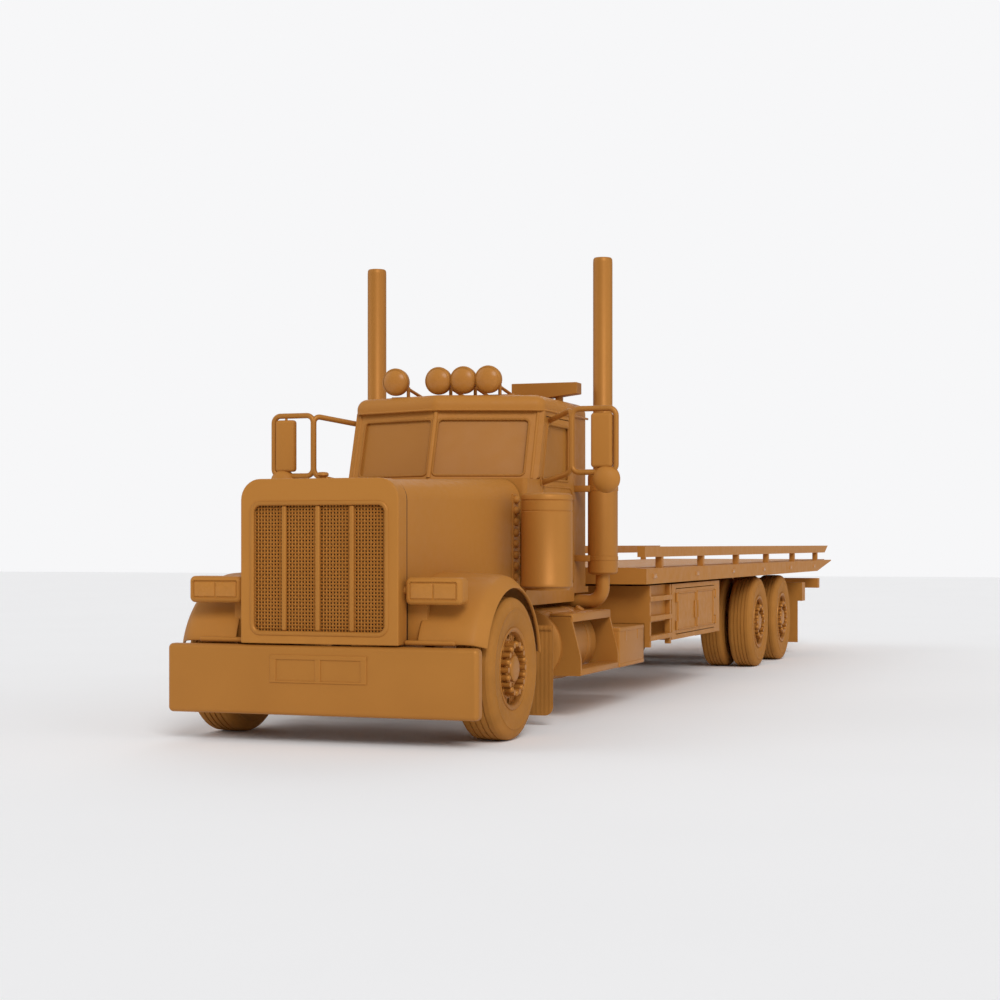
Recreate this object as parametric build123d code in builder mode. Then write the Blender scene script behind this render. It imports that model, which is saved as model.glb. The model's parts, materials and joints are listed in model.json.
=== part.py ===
"""Flatbed truck: a long-nose conventional tractor chassis with a sliding, tilting flat bed.

Millimetres. +X points to the front of the truck, +Y to its left side, +Z up. The origin lies on
the ground, under the middle of the overall length. Places along the truck are given as distances
behind the front axle and turned into X by behind().
"""

import os
from build123d import *

os.makedirs("parts", exist_ok=True)

# Driving dimensions

FRONT_OVERHANG = 780.0      # front axle to bumper face
REAR_AXLE_SETBACK = 8390.0  # front axle to first rear axle
TANDEM_SPACING = 1350.0     # first to second rear axle
BED_SETBACK = 3320.0        # front axle to front end of bed
BED_LENGTH = 9590.0
BED_WIDTH = 2520.0
OVERALL_LENGTH = FRONT_OVERHANG + BED_SETBACK + BED_LENGTH
FRONT_AXLE_X = OVERALL_LENGTH / 2 - FRONT_OVERHANG

RUN_GAP = 0.3      # faces of one fit that slide or seat
PIN_GAP = 0.05     # pin in its bore
SWING_GAP = 8.0    # edge of a door or leaf to its opening

# Tyres and wheels
TYRE_R = 520.0
FRONT_TYRE_W = 300.0
REAR_TYRE_W = 280.0
BEAD_R = 286.0
RIM_W = 229.0
RIM_WALL = 16.0
FRONT_WHEEL_Y = 1060.0      # centre plane of a front tyre
REAR_OUTER_Y = 1077.0       # centre plane of an outer rear tyre
DUAL_SPACING = 330.0
NUT_COUNT = 10
NUT_CIRCLE_R = 178.0
HAND_HOLE_R = 26.0
HAND_HOLE_CIRCLE_R = 238.0
NUT_R = 20.0
NUT_LENGTH = 72.0

# Frame rails
RAIL_TOP = 940.0
RAIL_H = 260.0
RAIL_OUTER_Y = 432.0
RAIL_FLANGE = 90.0
RAIL_WALL = 11.0
RAIL_BOTTOM = RAIL_TOP - RAIL_H
RAIL_FRONT = -550.0         # behind the front axle
RAIL_REAR = 11050.0

# Bumper and nose
BUMPER_HALF_W = 1208.0
BUMPER_LOW = 205.0
BUMPER_TOP = 705.0
BUMPER_WALL = 12.0
BUMPER_RETURN = 110.0
GRILLE_AHEAD = 765.0        # grille face ahead of the front axle
GRILLE_DEPTH = 165.0
GRILLE_HALF_W = 605.0
GRILLE_LOW = 715.0
GRILLE_TOP = 1880.0
GRILLE_CORNER = 140.0
MESH_HALF_W = 513.0
MESH_LOW = 799.0
MESH_TOP = 1704.0
MESH_CORNER = 40.0
HOOD_HINGE_UP = 7.0         # hinge axis above the grille's lower edge
HOOD_REAR = 1232.0          # behind the front axle
HOOD_LOW = 1020.0
HOOD_REAR_HALF_W = 800.0
HOOD_REAR_TOP = 1945.0
HOOD_REAR_CORNER = 170.0
HOOD_WALL = 14.0
ARCH_R = 620.0
FENDER_R = 682.0
FENDER_OUT = 1205.0

# Cab
CAB_FRONT = 1250.0          # behind the front axle
CAB_REAR = 2900.0
CAB_HALF_W = 845.0
CAB_LOW = 1000.0
CAB_FLOOR = 50.0
CAB_WALL = 45.0
COWL_TOP = 1950.0
CAB_TOP = 2520.0
WINDSHIELD_RAKE = 175.0     # how far the windshield leans back over its height
WINDSHIELD_SWEEP = 290.0    # how far its outer edges lie behind its middle
ROOF_H = 130.0
GLASS = 8.0
DOOR_FRONT = 1600.0
DOOR_REAR = 2480.0
DOOR_LOW = 1095.0
DOOR_TOP = 2470.0

# Bed
DECK_TOP = 1210.0
SILL_LOW = 1060.0
SILL_W = 100.0
SILL_STEP = 8.0             # the side sills lie this far below the deck
DECK_PLATE = 12.0
TAIL_RISE = 1060.0          # length of the tail's sloping underside
TAIL_TIP = 22.0
RAIL_TUBE_H = 95.0
RAIL_TUBE_W = 70.0
RAIL_TUBE_TOP = 1400.0
POST_COUNT = 6
POST_FIRST = 650.0          # bed's front end to first post
POST_LAST = 940.0           # last post to bed's rear end
BED_PIVOT_SETBACK = 11200.0
BED_PIVOT_Z = 985.0
PIVOT_PIN_R = 30.0


def behind(distance):
    """X of a place that lies this far behind the front axle."""
    return FRONT_AXLE_X - distance


def block(x, y, z, mode=Mode.ADD):
    """A box between low and high values on each axis."""
    with Locations(((x[0] + x[1]) / 2, (y[0] + y[1]) / 2, (z[0] + z[1]) / 2)):
        Box(abs(x[1] - x[0]), abs(y[1] - y[0]), abs(z[1] - z[0]), mode=mode)


def rod(start, end, radius, mode=Mode.ADD):
    """A round bar from one point to another."""
    line = Vector(*end) - Vector(*start)
    with BuildSketch(Plane(origin=start, z_dir=line)) as section:
        Circle(radius)
    extrude(section.sketch, amount=line.length, mode=mode)


def side_plane(y):
    """A drawing plane at this Y: right is forwards, up is up, and extrusions run inboard."""
    return Plane.XZ.offset(-y)


def save(part, name):
    part.label = name
    export_step(part, f"parts/{name}.step")


def save_pair(part, name):
    """The left piece, and its mirror image for the right side."""
    save(part, name + "_left")
    save(mirror(part, about=Plane.XZ), name + "_right")


# Tyres: one outline, turned about the axle


def tyre(x, y, width):
    half = width / 2
    bead = RIM_W / 2
    shoulder_r = TYRE_R - 20
    tread_half = half - 32
    with BuildSketch(Plane.YZ.offset(x)) as section:
        with BuildLine():
            for side in (1, -1):
                Line((y + side * bead, TYRE_R + BEAD_R), (y + side * bead, TYRE_R + BEAD_R + 22))
                ThreePointArc(
                    (y + side * bead, TYRE_R + BEAD_R + 22),
                    (y + side * half, TYRE_R + 0.5 * (BEAD_R + shoulder_r)),
                    (y + side * (half - 16), TYRE_R + shoulder_r),
                )
                ThreePointArc(
                    (y + side * (half - 16), TYRE_R + shoulder_r),
                    (y + side * (half - 21), TYRE_R + TYRE_R - 9),
                    (y + side * tread_half, TYRE_R + TYRE_R - 4),
                )
            Line((y - bead, TYRE_R + BEAD_R), (y + bead, TYRE_R + BEAD_R))
            ThreePointArc(
                (y - tread_half, 2 * TYRE_R - 4), (y, 2 * TYRE_R), (y + tread_half, 2 * TYRE_R - 4)
            )
        make_face()
    revolve(section.sketch, axis=Axis((x, 0, TYRE_R), (0, 1, 0)))


# Wheels: rim barrel, disc, hub, hand holes and nuts


def ring(x, y_from, y_to, r_out, r_in, mode=Mode.ADD):
    """A turned ring about an axle, between two Y values."""
    with BuildSketch(Plane(origin=(x, y_from, TYRE_R), z_dir=(0, 1, 0))) as section:
        Circle(r_out)
        if r_in > 0:
            Circle(r_in, mode=Mode.SUBTRACT)
    extrude(section.sketch, amount=y_to - y_from, mode=mode)


def wheel_face(x, face_y):
    """The nuts, the hand holes and the stepped hub on a wheel disc whose outer face is at face_y."""
    outward = Plane(origin=(x, face_y, TYRE_R), z_dir=(0, 1, 0))
    with BuildSketch(outward.offset(-60)) as hand_holes:
        with PolarLocations(HAND_HOLE_CIRCLE_R, NUT_COUNT):
            Circle(HAND_HOLE_R)
    extrude(hand_holes.sketch, amount=120, mode=Mode.SUBTRACT)
    with BuildSketch(outward) as nuts:
        with PolarLocations(NUT_CIRCLE_R, NUT_COUNT, start_angle=18):
            Circle(NUT_R)
    extrude(nuts.sketch, amount=NUT_LENGTH)
    ring(x, face_y, face_y + 26, 112, 0)
    ring(x, face_y, face_y + 58, 84, 0)


def barrel(x, y):
    """The rim's barrel with a low flange at each edge."""
    half = RIM_W / 2 + 12
    ring(x, y - half, y + half, BEAD_R - RUN_GAP, BEAD_R - RIM_WALL)
    for edge in (y - half, y + half - 12 + RUN_GAP):
        ring(x, edge, edge + 12 - RUN_GAP, BEAD_R + 14, BEAD_R - RIM_WALL)


SPINDLE_R = 45.0
FRONT_HUB_IN = 1022.0
FRONT_FACE_Y = FRONT_WHEEL_Y + FRONT_TYRE_W / 2 - 62
REAR_FACE_Y = REAR_OUTER_Y + REAR_TYRE_W / 2 - 62
REAR_INNER_Y = REAR_OUTER_Y - DUAL_SPACING
DISC = 16.0

with BuildPart() as front_tyre:
    tyre(behind(0), FRONT_WHEEL_Y, FRONT_TYRE_W)
save_pair(front_tyre.part, "front_tyre")

with BuildPart() as front_wheel:
    barrel(behind(0), FRONT_WHEEL_Y)
    ring(behind(0), FRONT_FACE_Y - DISC, FRONT_FACE_Y, BEAD_R - 2, 0)
    ring(behind(0), FRONT_HUB_IN, FRONT_FACE_Y, 200, 178)
    ring(behind(0), FRONT_HUB_IN, FRONT_FACE_Y, 96, 0)
    wheel_face(behind(0), FRONT_FACE_Y)
    ring(behind(0), FRONT_HUB_IN - 1, FRONT_FACE_Y - 20, SPINDLE_R + PIN_GAP, 0, Mode.SUBTRACT)
save_pair(front_wheel.part, "front_wheel")

REAR_SPINDLE_R = 55.0
REAR_HUB_IN = 640.0
REAR_AXLES = {"forward": REAR_AXLE_SETBACK, "rearward": REAR_AXLE_SETBACK + TANDEM_SPACING}
for place, setback in REAR_AXLES.items():
    with BuildPart() as twin_tyres:
        for y in (REAR_OUTER_Y, REAR_INNER_Y):
            tyre(behind(setback), y, REAR_TYRE_W)
    save_pair(twin_tyres.part, f"{place}_twin_tyres")

    with BuildPart() as twin_wheel:
        axle_x = behind(setback)
        for y in (REAR_OUTER_Y, REAR_INNER_Y):
            barrel(axle_x, y)
        inner_disc = REAR_INNER_Y + RIM_W / 2 - 40
        ring(axle_x, inner_disc, inner_disc + DISC, BEAD_R - 2, 0)
        ring(axle_x, REAR_FACE_Y - DISC, REAR_FACE_Y, BEAD_R - 2, 0)
        ring(axle_x, REAR_HUB_IN, inner_disc, 205, 183)
        ring(axle_x, REAR_HUB_IN, REAR_FACE_Y, 100, 0)
        wheel_face(axle_x, REAR_FACE_Y)
        ring(axle_x, REAR_HUB_IN - 1, REAR_FACE_Y - 20, REAR_SPINDLE_R + PIN_GAP, 0, Mode.SUBTRACT)
    save_pair(twin_wheel.part, f"{place}_twin_wheel")

# Front axle beam, knuckles and springs

KINGPIN_Y = 930.0
KINGPIN_R = 22.0
EYE_R = 50.0
EYE_LOW = 460.0
EYE_TOP = 580.0
YOKE_GAP = 5.0
BEAM_LOW = 450.0
BEAM_TOP = 550.0

with BuildPart() as front_axle:
    block((behind(45), behind(-45)), (-KINGPIN_Y, KINGPIN_Y), (BEAM_LOW, BEAM_TOP))
    for side in (1, -1):
        block(
            (behind(-side * 14), behind(-side * 46)), (-KINGPIN_Y + 130, KINGPIN_Y - 130),
            (BEAM_LOW + 24, BEAM_TOP - 24), Mode.SUBTRACT,
        )
        rod((behind(0), side * KINGPIN_Y, EYE_LOW), (behind(0), side * KINGPIN_Y, EYE_TOP), EYE_R)
        block(
            (behind(60), behind(-60)), (side * (KINGPIN_Y - EYE_R), side * (KINGPIN_Y + 60)),
            (BEAM_LOW - 1, EYE_LOW), Mode.SUBTRACT,
        )
        rod(
            (behind(0), side * KINGPIN_Y, EYE_LOW - 20), (behind(0), side * KINGPIN_Y, EYE_TOP + 20),
            KINGPIN_R + PIN_GAP, Mode.SUBTRACT,
        )
save(front_axle.part, "front_axle")

with BuildPart() as knuckle:
    yoke_in = KINGPIN_Y + EYE_R + YOKE_GAP
    block((behind(60), behind(-60)), (yoke_in, yoke_in + 30), (EYE_LOW - 50, EYE_TOP + 50))
    for low, high in ((EYE_LOW - 50, EYE_LOW - YOKE_GAP), (EYE_TOP + YOKE_GAP, EYE_TOP + 50)):
        block((behind(45), behind(-45)), (KINGPIN_Y, yoke_in + 10), (low, high))
        rod((behind(0), KINGPIN_Y, low), (behind(0), KINGPIN_Y, high), 45)
    rod((behind(0), KINGPIN_Y, EYE_LOW - 50), (behind(0), KINGPIN_Y, EYE_TOP + 50), KINGPIN_R)
    rod((behind(0), yoke_in + 10, TYRE_R), (behind(0), FRONT_FACE_Y - 24, TYRE_R), SPINDLE_R)
save_pair(knuckle.part, "knuckle")

SPRING_IN = 345.0
SPRING_W = 80.0
SPRING_HALF = 500.0
with BuildPart() as front_springs:
    spring_mid = BEAM_TOP + RUN_GAP
    with BuildSketch(side_plane(SPRING_IN + SPRING_W)):
        with BuildLine():
            ThreePointArc(
                (behind(-SPRING_HALF), spring_mid + 95), (behind(0), spring_mid),
                (behind(SPRING_HALF), spring_mid + 95)
            )
            Line((behind(SPRING_HALF), spring_mid + 95), (behind(SPRING_HALF), RAIL_BOTTOM))
            ThreePointArc(
                (behind(SPRING_HALF), RAIL_BOTTOM), (behind(0), spring_mid + 60),
                (behind(-SPRING_HALF), RAIL_BOTTOM)
            )
            Line((behind(-SPRING_HALF), RAIL_BOTTOM), (behind(-SPRING_HALF), spring_mid + 95))
        make_face()
    extrude(amount=SPRING_W)
    for hanger in (-SPRING_HALF, SPRING_HALF):
        block(
            (behind(hanger - 30), behind(hanger + 30)), (SPRING_IN, SPRING_IN + SPRING_W),
            (RAIL_BOTTOM - 60, RAIL_BOTTOM)
        )
    mirror(about=Plane.XZ)
save(front_springs.part, "front_springs")

# Rear axles and the balance beams between them

AXLE_TUBE_R = 75.0
THROUGH_SHAFT = 235.0       # stub out of the back of the first rear axle
with BuildPart() as rear_axles:
    for setback in REAR_AXLES.values():
        axle_x = behind(setback)
        rod((axle_x, -600, TYRE_R), (axle_x, 600, TYRE_R), AXLE_TUBE_R)
        spindle_end = REAR_FACE_Y - 24
        rod((axle_x, -spindle_end, TYRE_R), (axle_x, spindle_end, TYRE_R), REAR_SPINDLE_R)
        with Locations((axle_x, 0, TYRE_R)):
            Sphere(190)
        rod((axle_x, 0, TYRE_R + 60), (axle_x + 300, 0, TYRE_R + 60), 85)
    first_x = behind(REAR_AXLE_SETBACK)
    rod((first_x, 0, TYRE_R + 60), (first_x - THROUGH_SHAFT, 0, TYRE_R + 60), 70)
save(rear_axles.part, "rear_axles")

BEAM_IN = 385.0
BEAM_OUT = 475.0
with BuildPart() as balance_beams:
    beam_top = TYRE_R - AXLE_TUBE_R - RUN_GAP
    first, second = REAR_AXLES.values()
    middle = (first + second) / 2
    block((behind(second + 120), behind(first - 120)), (BEAM_IN, BEAM_OUT), (beam_top - 95, beam_top))
    block(
        (behind(middle + 130), behind(middle - 130)), (BEAM_IN, RAIL_OUTER_Y), (beam_top - 20, RAIL_BOTTOM)
    )
    mirror(about=Plane.XZ)
save(balance_beams.part, "balance_beams")

# Frame rails, cross-members, engine and drive shafts

with BuildPart() as frame_rails:
    with BuildSketch(Plane.YZ.offset(behind(RAIL_REAR))):
        flange_tip = RAIL_OUTER_Y - RAIL_FLANGE
        web_in = RAIL_OUTER_Y - RAIL_WALL
        with BuildLine():
            Polyline(
                (flange_tip, RAIL_BOTTOM), (RAIL_OUTER_Y, RAIL_BOTTOM), (RAIL_OUTER_Y, RAIL_TOP),
                (flange_tip, RAIL_TOP),
                (flange_tip, RAIL_TOP - RAIL_WALL), (web_in, RAIL_TOP - RAIL_WALL),
                (web_in, RAIL_BOTTOM + RAIL_WALL), (flange_tip, RAIL_BOTTOM + RAIL_WALL), close=True,
            )
        make_face()
    extrude(amount=RAIL_REAR - RAIL_FRONT)
    mirror(about=Plane.XZ)
save(frame_rails.part, "frame_rails")

MEMBER_HALF = 50.0
HIGH_MEMBERS = (-520, 2250, 3700, 5200, 6700, 8000, 9300, 10700)  # behind the front axle
ENGINE_MEMBERS = (-200, 850)
ENGINE_LOW = 745.0
with BuildPart() as frame_crossmembers:
    for setback in HIGH_MEMBERS:
        block((behind(setback + MEMBER_HALF), behind(setback - MEMBER_HALF)), (-web_in, web_in), (800, 920))
    for setback in ENGINE_MEMBERS:
        block(
            (behind(setback + MEMBER_HALF), behind(setback - MEMBER_HALF)), (-web_in, web_in),
            (RAIL_BOTTOM + RAIL_WALL, ENGINE_LOW),
        )
save(frame_crossmembers.part, "frame_crossmembers")

GEARBOX_REAR = 1950.0
SHAFT_Z = 690.0
SHAFT_R = 55.0
with BuildPart() as engine:
    block((behind(950), behind(-350)), (-300, 300), (ENGINE_LOW, 1560))
    block((behind(GEARBOX_REAR), behind(950)), (-220, 220), (620, 955))
save(engine.part, "engine")

with BuildPart() as drive_shafts:
    front_nose = REAR_AXLE_SETBACK - 300
    rod((behind(GEARBOX_REAR + 20), 0, SHAFT_Z), (behind(front_nose - 20), 0, TYRE_R + 60), SHAFT_R)
    rod((behind(GEARBOX_REAR), 0, SHAFT_Z), (behind(GEARBOX_REAR + 30), 0, SHAFT_Z), SHAFT_R + 20)
    rod((behind(front_nose - 30), 0, TYRE_R + 60), (behind(front_nose), 0, TYRE_R + 60), SHAFT_R + 20)
    rear_nose = REAR_AXLE_SETBACK + TANDEM_SPACING - 300
    rod(
        (behind(REAR_AXLE_SETBACK + THROUGH_SHAFT), 0, TYRE_R + 60), (behind(rear_nose), 0, TYRE_R + 60),
        SHAFT_R
    )
save(drive_shafts.part, "drive_shafts")

# Front bumper with its horns and the hood's hinge ears

HINGE_X = behind(-GRILLE_AHEAD)
HINGE_Z = GRILLE_LOW + HOOD_HINGE_UP
HINGE_R = 9.0
EAR_Y = 306.0
EAR_HALF = 8.0
PLATE_HALF_W = 375.0
PLATE_LOW = 450.0
PLATE_TOP = 630.0
with BuildPart() as front_bumper:
    face_x = behind(-FRONT_OVERHANG)
    block((face_x - BUMPER_RETURN, face_x), (-BUMPER_HALF_W, BUMPER_HALF_W), (BUMPER_LOW, BUMPER_TOP))
    fillet(front_bumper.edges().filter_by(Axis.Z).group_by(Axis.X)[-1], radius=45)
    fillet(front_bumper.faces().sort_by(Axis.X)[-1].edges(), radius=18)
    block(
        (face_x - BUMPER_RETURN - 1, face_x - BUMPER_WALL),
        (-BUMPER_HALF_W + BUMPER_WALL, BUMPER_HALF_W - BUMPER_WALL),
        (BUMPER_LOW + BUMPER_WALL, BUMPER_TOP - BUMPER_WALL), Mode.SUBTRACT,
    )
    block((face_x - 20, face_x + 0), (-PLATE_HALF_W, PLATE_HALF_W), (PLATE_LOW, PLATE_TOP))
    for y in (-PLATE_HALF_W / 2 - 4, PLATE_HALF_W / 2 + 4):
        block((face_x - 8, face_x + 1), (y - 155, y + 155), (PLATE_LOW + 22, PLATE_TOP - 22), Mode.SUBTRACT)
    for side in (1, -1):
        horn = (side * RAIL_OUTER_Y, side * (RAIL_OUTER_Y + 28))
        block((behind(RAIL_FRONT + 170), face_x - BUMPER_WALL + 1), horn, (BUMPER_TOP - 130, BUMPER_TOP))
        ear = (side * (EAR_Y - EAR_HALF), side * (EAR_Y + EAR_HALF))
        block((HINGE_X - 18, HINGE_X + 14), ear, (BUMPER_TOP - 4, HINGE_Z + 16))
        rod(
            (HINGE_X, side * (EAR_Y - 20), HINGE_Z), (HINGE_X, side * (EAR_Y + 20), HINGE_Z),
            HINGE_R + PIN_GAP, Mode.SUBTRACT
        )
save(front_bumper.part, "front_bumper")

# Radiator shell, grille and hood


def arched(half_w, low, top, corner):
    """A face with a flat foot and two rounded upper corners, drawn across the truck."""
    bend = corner * (1 - 0.5 ** 0.5)
    with BuildLine() as outline:
        Polyline((half_w, top - corner), (half_w, low), (-half_w, low), (-half_w, top - corner))
        ThreePointArc((-half_w, top - corner), (-half_w + bend, top - bend), (-half_w + corner, top))
        Line((-half_w + corner, top), (half_w - corner, top))
        ThreePointArc((half_w - corner, top), (half_w - bend, top - bend), (half_w, top - corner))
    make_face(outline.edges())


def rounded(y, z, corner, mode=Mode.ADD):
    """A rectangle with rounded corners between low and high values, drawn across the truck."""
    with Locations(((y[0] + y[1]) / 2, (z[0] + z[1]) / 2)):
        RectangleRounded(y[1] - y[0], z[1] - z[0], corner, mode=mode)


def rounded_side(x, z, corner, mode=Mode.ADD):
    """The same rectangle on a side plane."""
    with Locations(((x[0] + x[1]) / 2, (z[0] + z[1]) / 2)):
        RectangleRounded(abs(x[1] - x[0]), z[1] - z[0], corner, mode=mode)


GRILLE_BACK = behind(GRILLE_DEPTH - GRILLE_AHEAD)
GRILLE_FACE = behind(-GRILLE_AHEAD)
BAR_SPACING = 256.0
BAR_W = 30.0
MESH_BACK = GRILLE_FACE - 48

with BuildPart() as grille_surround:
    with BuildSketch(Plane.YZ.offset(GRILLE_BACK)):
        arched(GRILLE_HALF_W, GRILLE_LOW, GRILLE_TOP, GRILLE_CORNER)
        rounded((-MESH_HALF_W, MESH_HALF_W), (MESH_LOW, MESH_TOP), MESH_CORNER, Mode.SUBTRACT)
    extrude(amount=GRILLE_DEPTH)
    for side in (1, -1):
        notch = (side * (EAR_Y - EAR_HALF - 6), side * (EAR_Y + EAR_HALF + 6))
        block((HINGE_X - 30, HINGE_X + 1), notch, (GRILLE_LOW - 1, HINGE_Z + 24), Mode.SUBTRACT)
        rod((HINGE_X, side * (EAR_Y - 40), HINGE_Z), (HINGE_X, side * (EAR_Y + 40), HINGE_Z), HINGE_R)
save(grille_surround.part, "grille_surround")

with BuildPart() as grille_mesh:
    with BuildSketch(Plane.YZ.offset(MESH_BACK)):
        seat = MESH_HALF_W - RUN_GAP
        rounded((-seat, seat), (MESH_LOW + RUN_GAP, MESH_TOP - RUN_GAP), MESH_CORNER)
    extrude(amount=12)
    for y in (-BAR_SPACING, 0, BAR_SPACING):
        block((MESH_BACK, GRILLE_FACE - 8), (y - BAR_W / 2, y + BAR_W / 2), (MESH_LOW + 4, MESH_TOP - 4))
save(grille_mesh.part, "grille_mesh")

HOOD_FRONT_X = GRILLE_BACK - RUN_GAP
HOOD_REAR_X = behind(HOOD_REAR)


def hood_sections(inset):
    """The hood's outline at cowl and nose, or that of the hollow inside it when inset by the wall."""
    with BuildSketch(Plane.YZ.offset(HOOD_REAR_X)) as cowl:
        arched(HOOD_REAR_HALF_W - inset, HOOD_LOW - inset, HOOD_REAR_TOP - inset, HOOD_REAR_CORNER - inset)
    with BuildSketch(Plane.YZ.offset(HOOD_FRONT_X)) as nose:
        arched(GRILLE_HALF_W - inset, HOOD_LOW - inset, GRILLE_TOP - inset, GRILLE_CORNER - inset)
    return [cowl.sketch, nose.sketch]


with BuildPart() as hood_shell:
    loft(hood_sections(0))
    loft(hood_sections(HOOD_WALL), mode=Mode.SUBTRACT)
save(hood_shell.part, "hood_shell")

# Fenders, arched over the front wheels and joined to the hood's sides

FENDER_FRONT = -640.0       # front edge, behind the front axle
FENDER_LOW = 745.0
FENDER_REAR_LOW = 620.0
FENDER_IN = 600.0
LIP_W = 45.0
with BuildPart() as fenders:
    hub_z = TYRE_R
    front_x = behind(FENDER_FRONT)
    reach = FENDER_R * 0.5 ** 0.5
    rear_x = behind((FENDER_R ** 2 - (FENDER_REAR_LOW - hub_z) ** 2) ** 0.5)
    with BuildSketch(side_plane(FENDER_OUT)):
        with BuildLine():
            Line((behind(0), FENDER_REAR_LOW), (rear_x, FENDER_REAR_LOW))
            ThreePointArc(
                (rear_x, FENDER_REAR_LOW), (behind(reach), hub_z + reach), (behind(0), hub_z + FENDER_R)
            )
            ThreePointArc(
                (behind(0), hub_z + FENDER_R), (behind(-0.62 * FENDER_R), hub_z + 0.75 * FENDER_R),
                (front_x, FENDER_LOW)
            )
            Polyline((front_x, FENDER_LOW), (behind(0), FENDER_LOW), (behind(0), FENDER_REAR_LOW))
        make_face()
    extrude(amount=FENDER_OUT - FENDER_IN)
    outer_edges = fenders.faces().sort_by(Axis.Y)[-1].edges().filter_by(GeomType.CIRCLE)
    fillet(outer_edges, radius=55)
    ring(behind(0), FENDER_OUT - LIP_W, FENDER_OUT + 1, ARCH_R, 0, Mode.SUBTRACT)
    ring(behind(0), FENDER_IN - 1, FENDER_OUT - LIP_W, FENDER_R - 32, 0, Mode.SUBTRACT)
    loft(hood_sections(0), mode=Mode.SUBTRACT)
    block((GRILLE_BACK - 1, GRILLE_FACE), (0, GRILLE_HALF_W), (GRILLE_LOW, GRILLE_TOP), Mode.SUBTRACT)
    mirror(about=Plane.XZ)
save(fenders.part, "fenders")

LAMP_IN = 648.0
LAMP_OUT = 1062.0
LAMP_LOW = 1005.0
LAMP_TOP = 1192.0
LAMP_FRONT = behind(-720)
LAMP_BACK = behind(-555)
with BuildPart() as headlights:
    with BuildSketch(Plane.YZ.offset(LAMP_BACK)):
        rounded((LAMP_IN, LAMP_OUT), (LAMP_LOW, LAMP_TOP), 40)
    extrude(amount=LAMP_FRONT - LAMP_BACK)
    fillet(headlights.faces().sort_by(Axis.X)[0].edges(), radius=30)
    fillet(headlights.faces().sort_by(Axis.X)[-1].edges(), radius=10)
    lamp_w = (LAMP_OUT - LAMP_IN - 60) / 2
    for y in (LAMP_IN + 24, LAMP_OUT - 24 - lamp_w):
        block(
            (LAMP_FRONT - 14, LAMP_FRONT + 1), (y, y + lamp_w), (LAMP_LOW + 26, LAMP_TOP - 26),
            Mode.SUBTRACT
        )
        block((LAMP_FRONT - 15, LAMP_FRONT - 4), (y + 6, y + lamp_w - 6), (LAMP_LOW + 32, LAMP_TOP - 32))
    block((LAMP_BACK + 80, LAMP_BACK + 140), (GRILLE_HALF_W, LAMP_IN + 5), (1070, 1130))
    mirror(about=Plane.XZ)
save(headlights.part, "headlights")

# Cab: floor, front, rear, roof and glass

CAB_FRONT_X = behind(CAB_FRONT)
CAB_REAR_X = behind(CAB_REAR)
CAB_FLOOR_TOP = CAB_LOW + CAB_FLOOR
SIDE_IN = CAB_HALF_W - CAB_WALL
SWEEP_RATE = WINDSHIELD_SWEEP / CAB_HALF_W
RAKE_RATE = WINDSHIELD_RAKE / (CAB_TOP - COWL_TOP)
ROCKER_LOW = 930.0
ROCKER_W = 70.0
ROCKER_REAR = 2500.0

with BuildPart() as cab_floor:
    block((CAB_REAR_X, CAB_FRONT_X), (-CAB_HALF_W, CAB_HALF_W), (CAB_LOW, CAB_FLOOR_TOP))
    for side in (1, -1):
        for setback in (CAB_FRONT + 150, CAB_REAR - 120):
            block(
                (behind(setback + 60), behind(setback - 60)), (side * 350, side * 425),
                (RAIL_TOP, CAB_LOW + 1)
            )
        sill = (side * SIDE_IN, side * CAB_HALF_W)
        block((behind(DOOR_REAR), behind(DOOR_FRONT)), sill, (CAB_FLOOR_TOP - 1, DOOR_LOW - SWING_GAP))
        rocker = (side * (CAB_HALF_W - ROCKER_W), side * CAB_HALF_W)
        block((behind(ROCKER_REAR), behind(CAB_FRONT + 60)), rocker, (ROCKER_LOW, CAB_LOW + 1))
save(cab_floor.part, "cab_floor")


def leaned(setback, z):
    """X of a place on an edge that follows the windshield's rake, given its setback at the cowl."""
    return behind(setback + RAKE_RATE * (z - COWL_TOP))


def windshield_plan(z, inset, rear):
    """The windshield frame in plan at one height: two faces swept back from the middle, a straight back."""
    nose_x = leaned(CAB_FRONT, z) - inset
    half = CAB_HALF_W - inset
    corner_x = nose_x - SWEEP_RATE * half
    with BuildSketch(Plane.XY.offset(z)) as section:
        with BuildLine() as outline:
            Polyline(
                (nose_x, 0), (corner_x, half), (leaned(rear, z), half), (leaned(rear, z), -half),
                (corner_x, -half), close=True,
            )
        make_face(outline.edges())
    return section.sketch


def pane_plane(side):
    """The outer face of one half of the windshield, drawn upright with its origin at the cowl's middle."""
    return Plane(
        origin=(CAB_FRONT_X, 0, COWL_TOP), x_dir=(-side * SWEEP_RATE, 1, 0), z_dir=(
            1, side * SWEEP_RATE, RAKE_RATE
        )
    )


PILLAR_REAR = DOOR_FRONT - SWING_GAP
COWL_SHELF = 30.0
PANE_IN = 32.0              # from the middle, along the foot of the pane
PANE_OUT = 770.0
PANE_LOW = 38.0             # up the slope from the cowl
PANE_TOP = 512.0
PANE_CORNER = 35.0
PANE_LEAN = RAKE_RATE * SWEEP_RATE / (1 + SWEEP_RATE**2 + RAKE_RATE**2) ** 0.5


def pane_corners(side, gap):
    """One pane in its own plane, a gap smaller all round, its side edges upright in a front view."""
    return [
        (side * (edge + PANE_LEAN * height), height)
        for edge, height in (
            (PANE_IN + gap, PANE_LOW + gap), (PANE_OUT - gap, PANE_LOW + gap),
            (PANE_OUT - gap, PANE_TOP - gap), (PANE_IN + gap, PANE_TOP - gap),
        )
    ]


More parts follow.
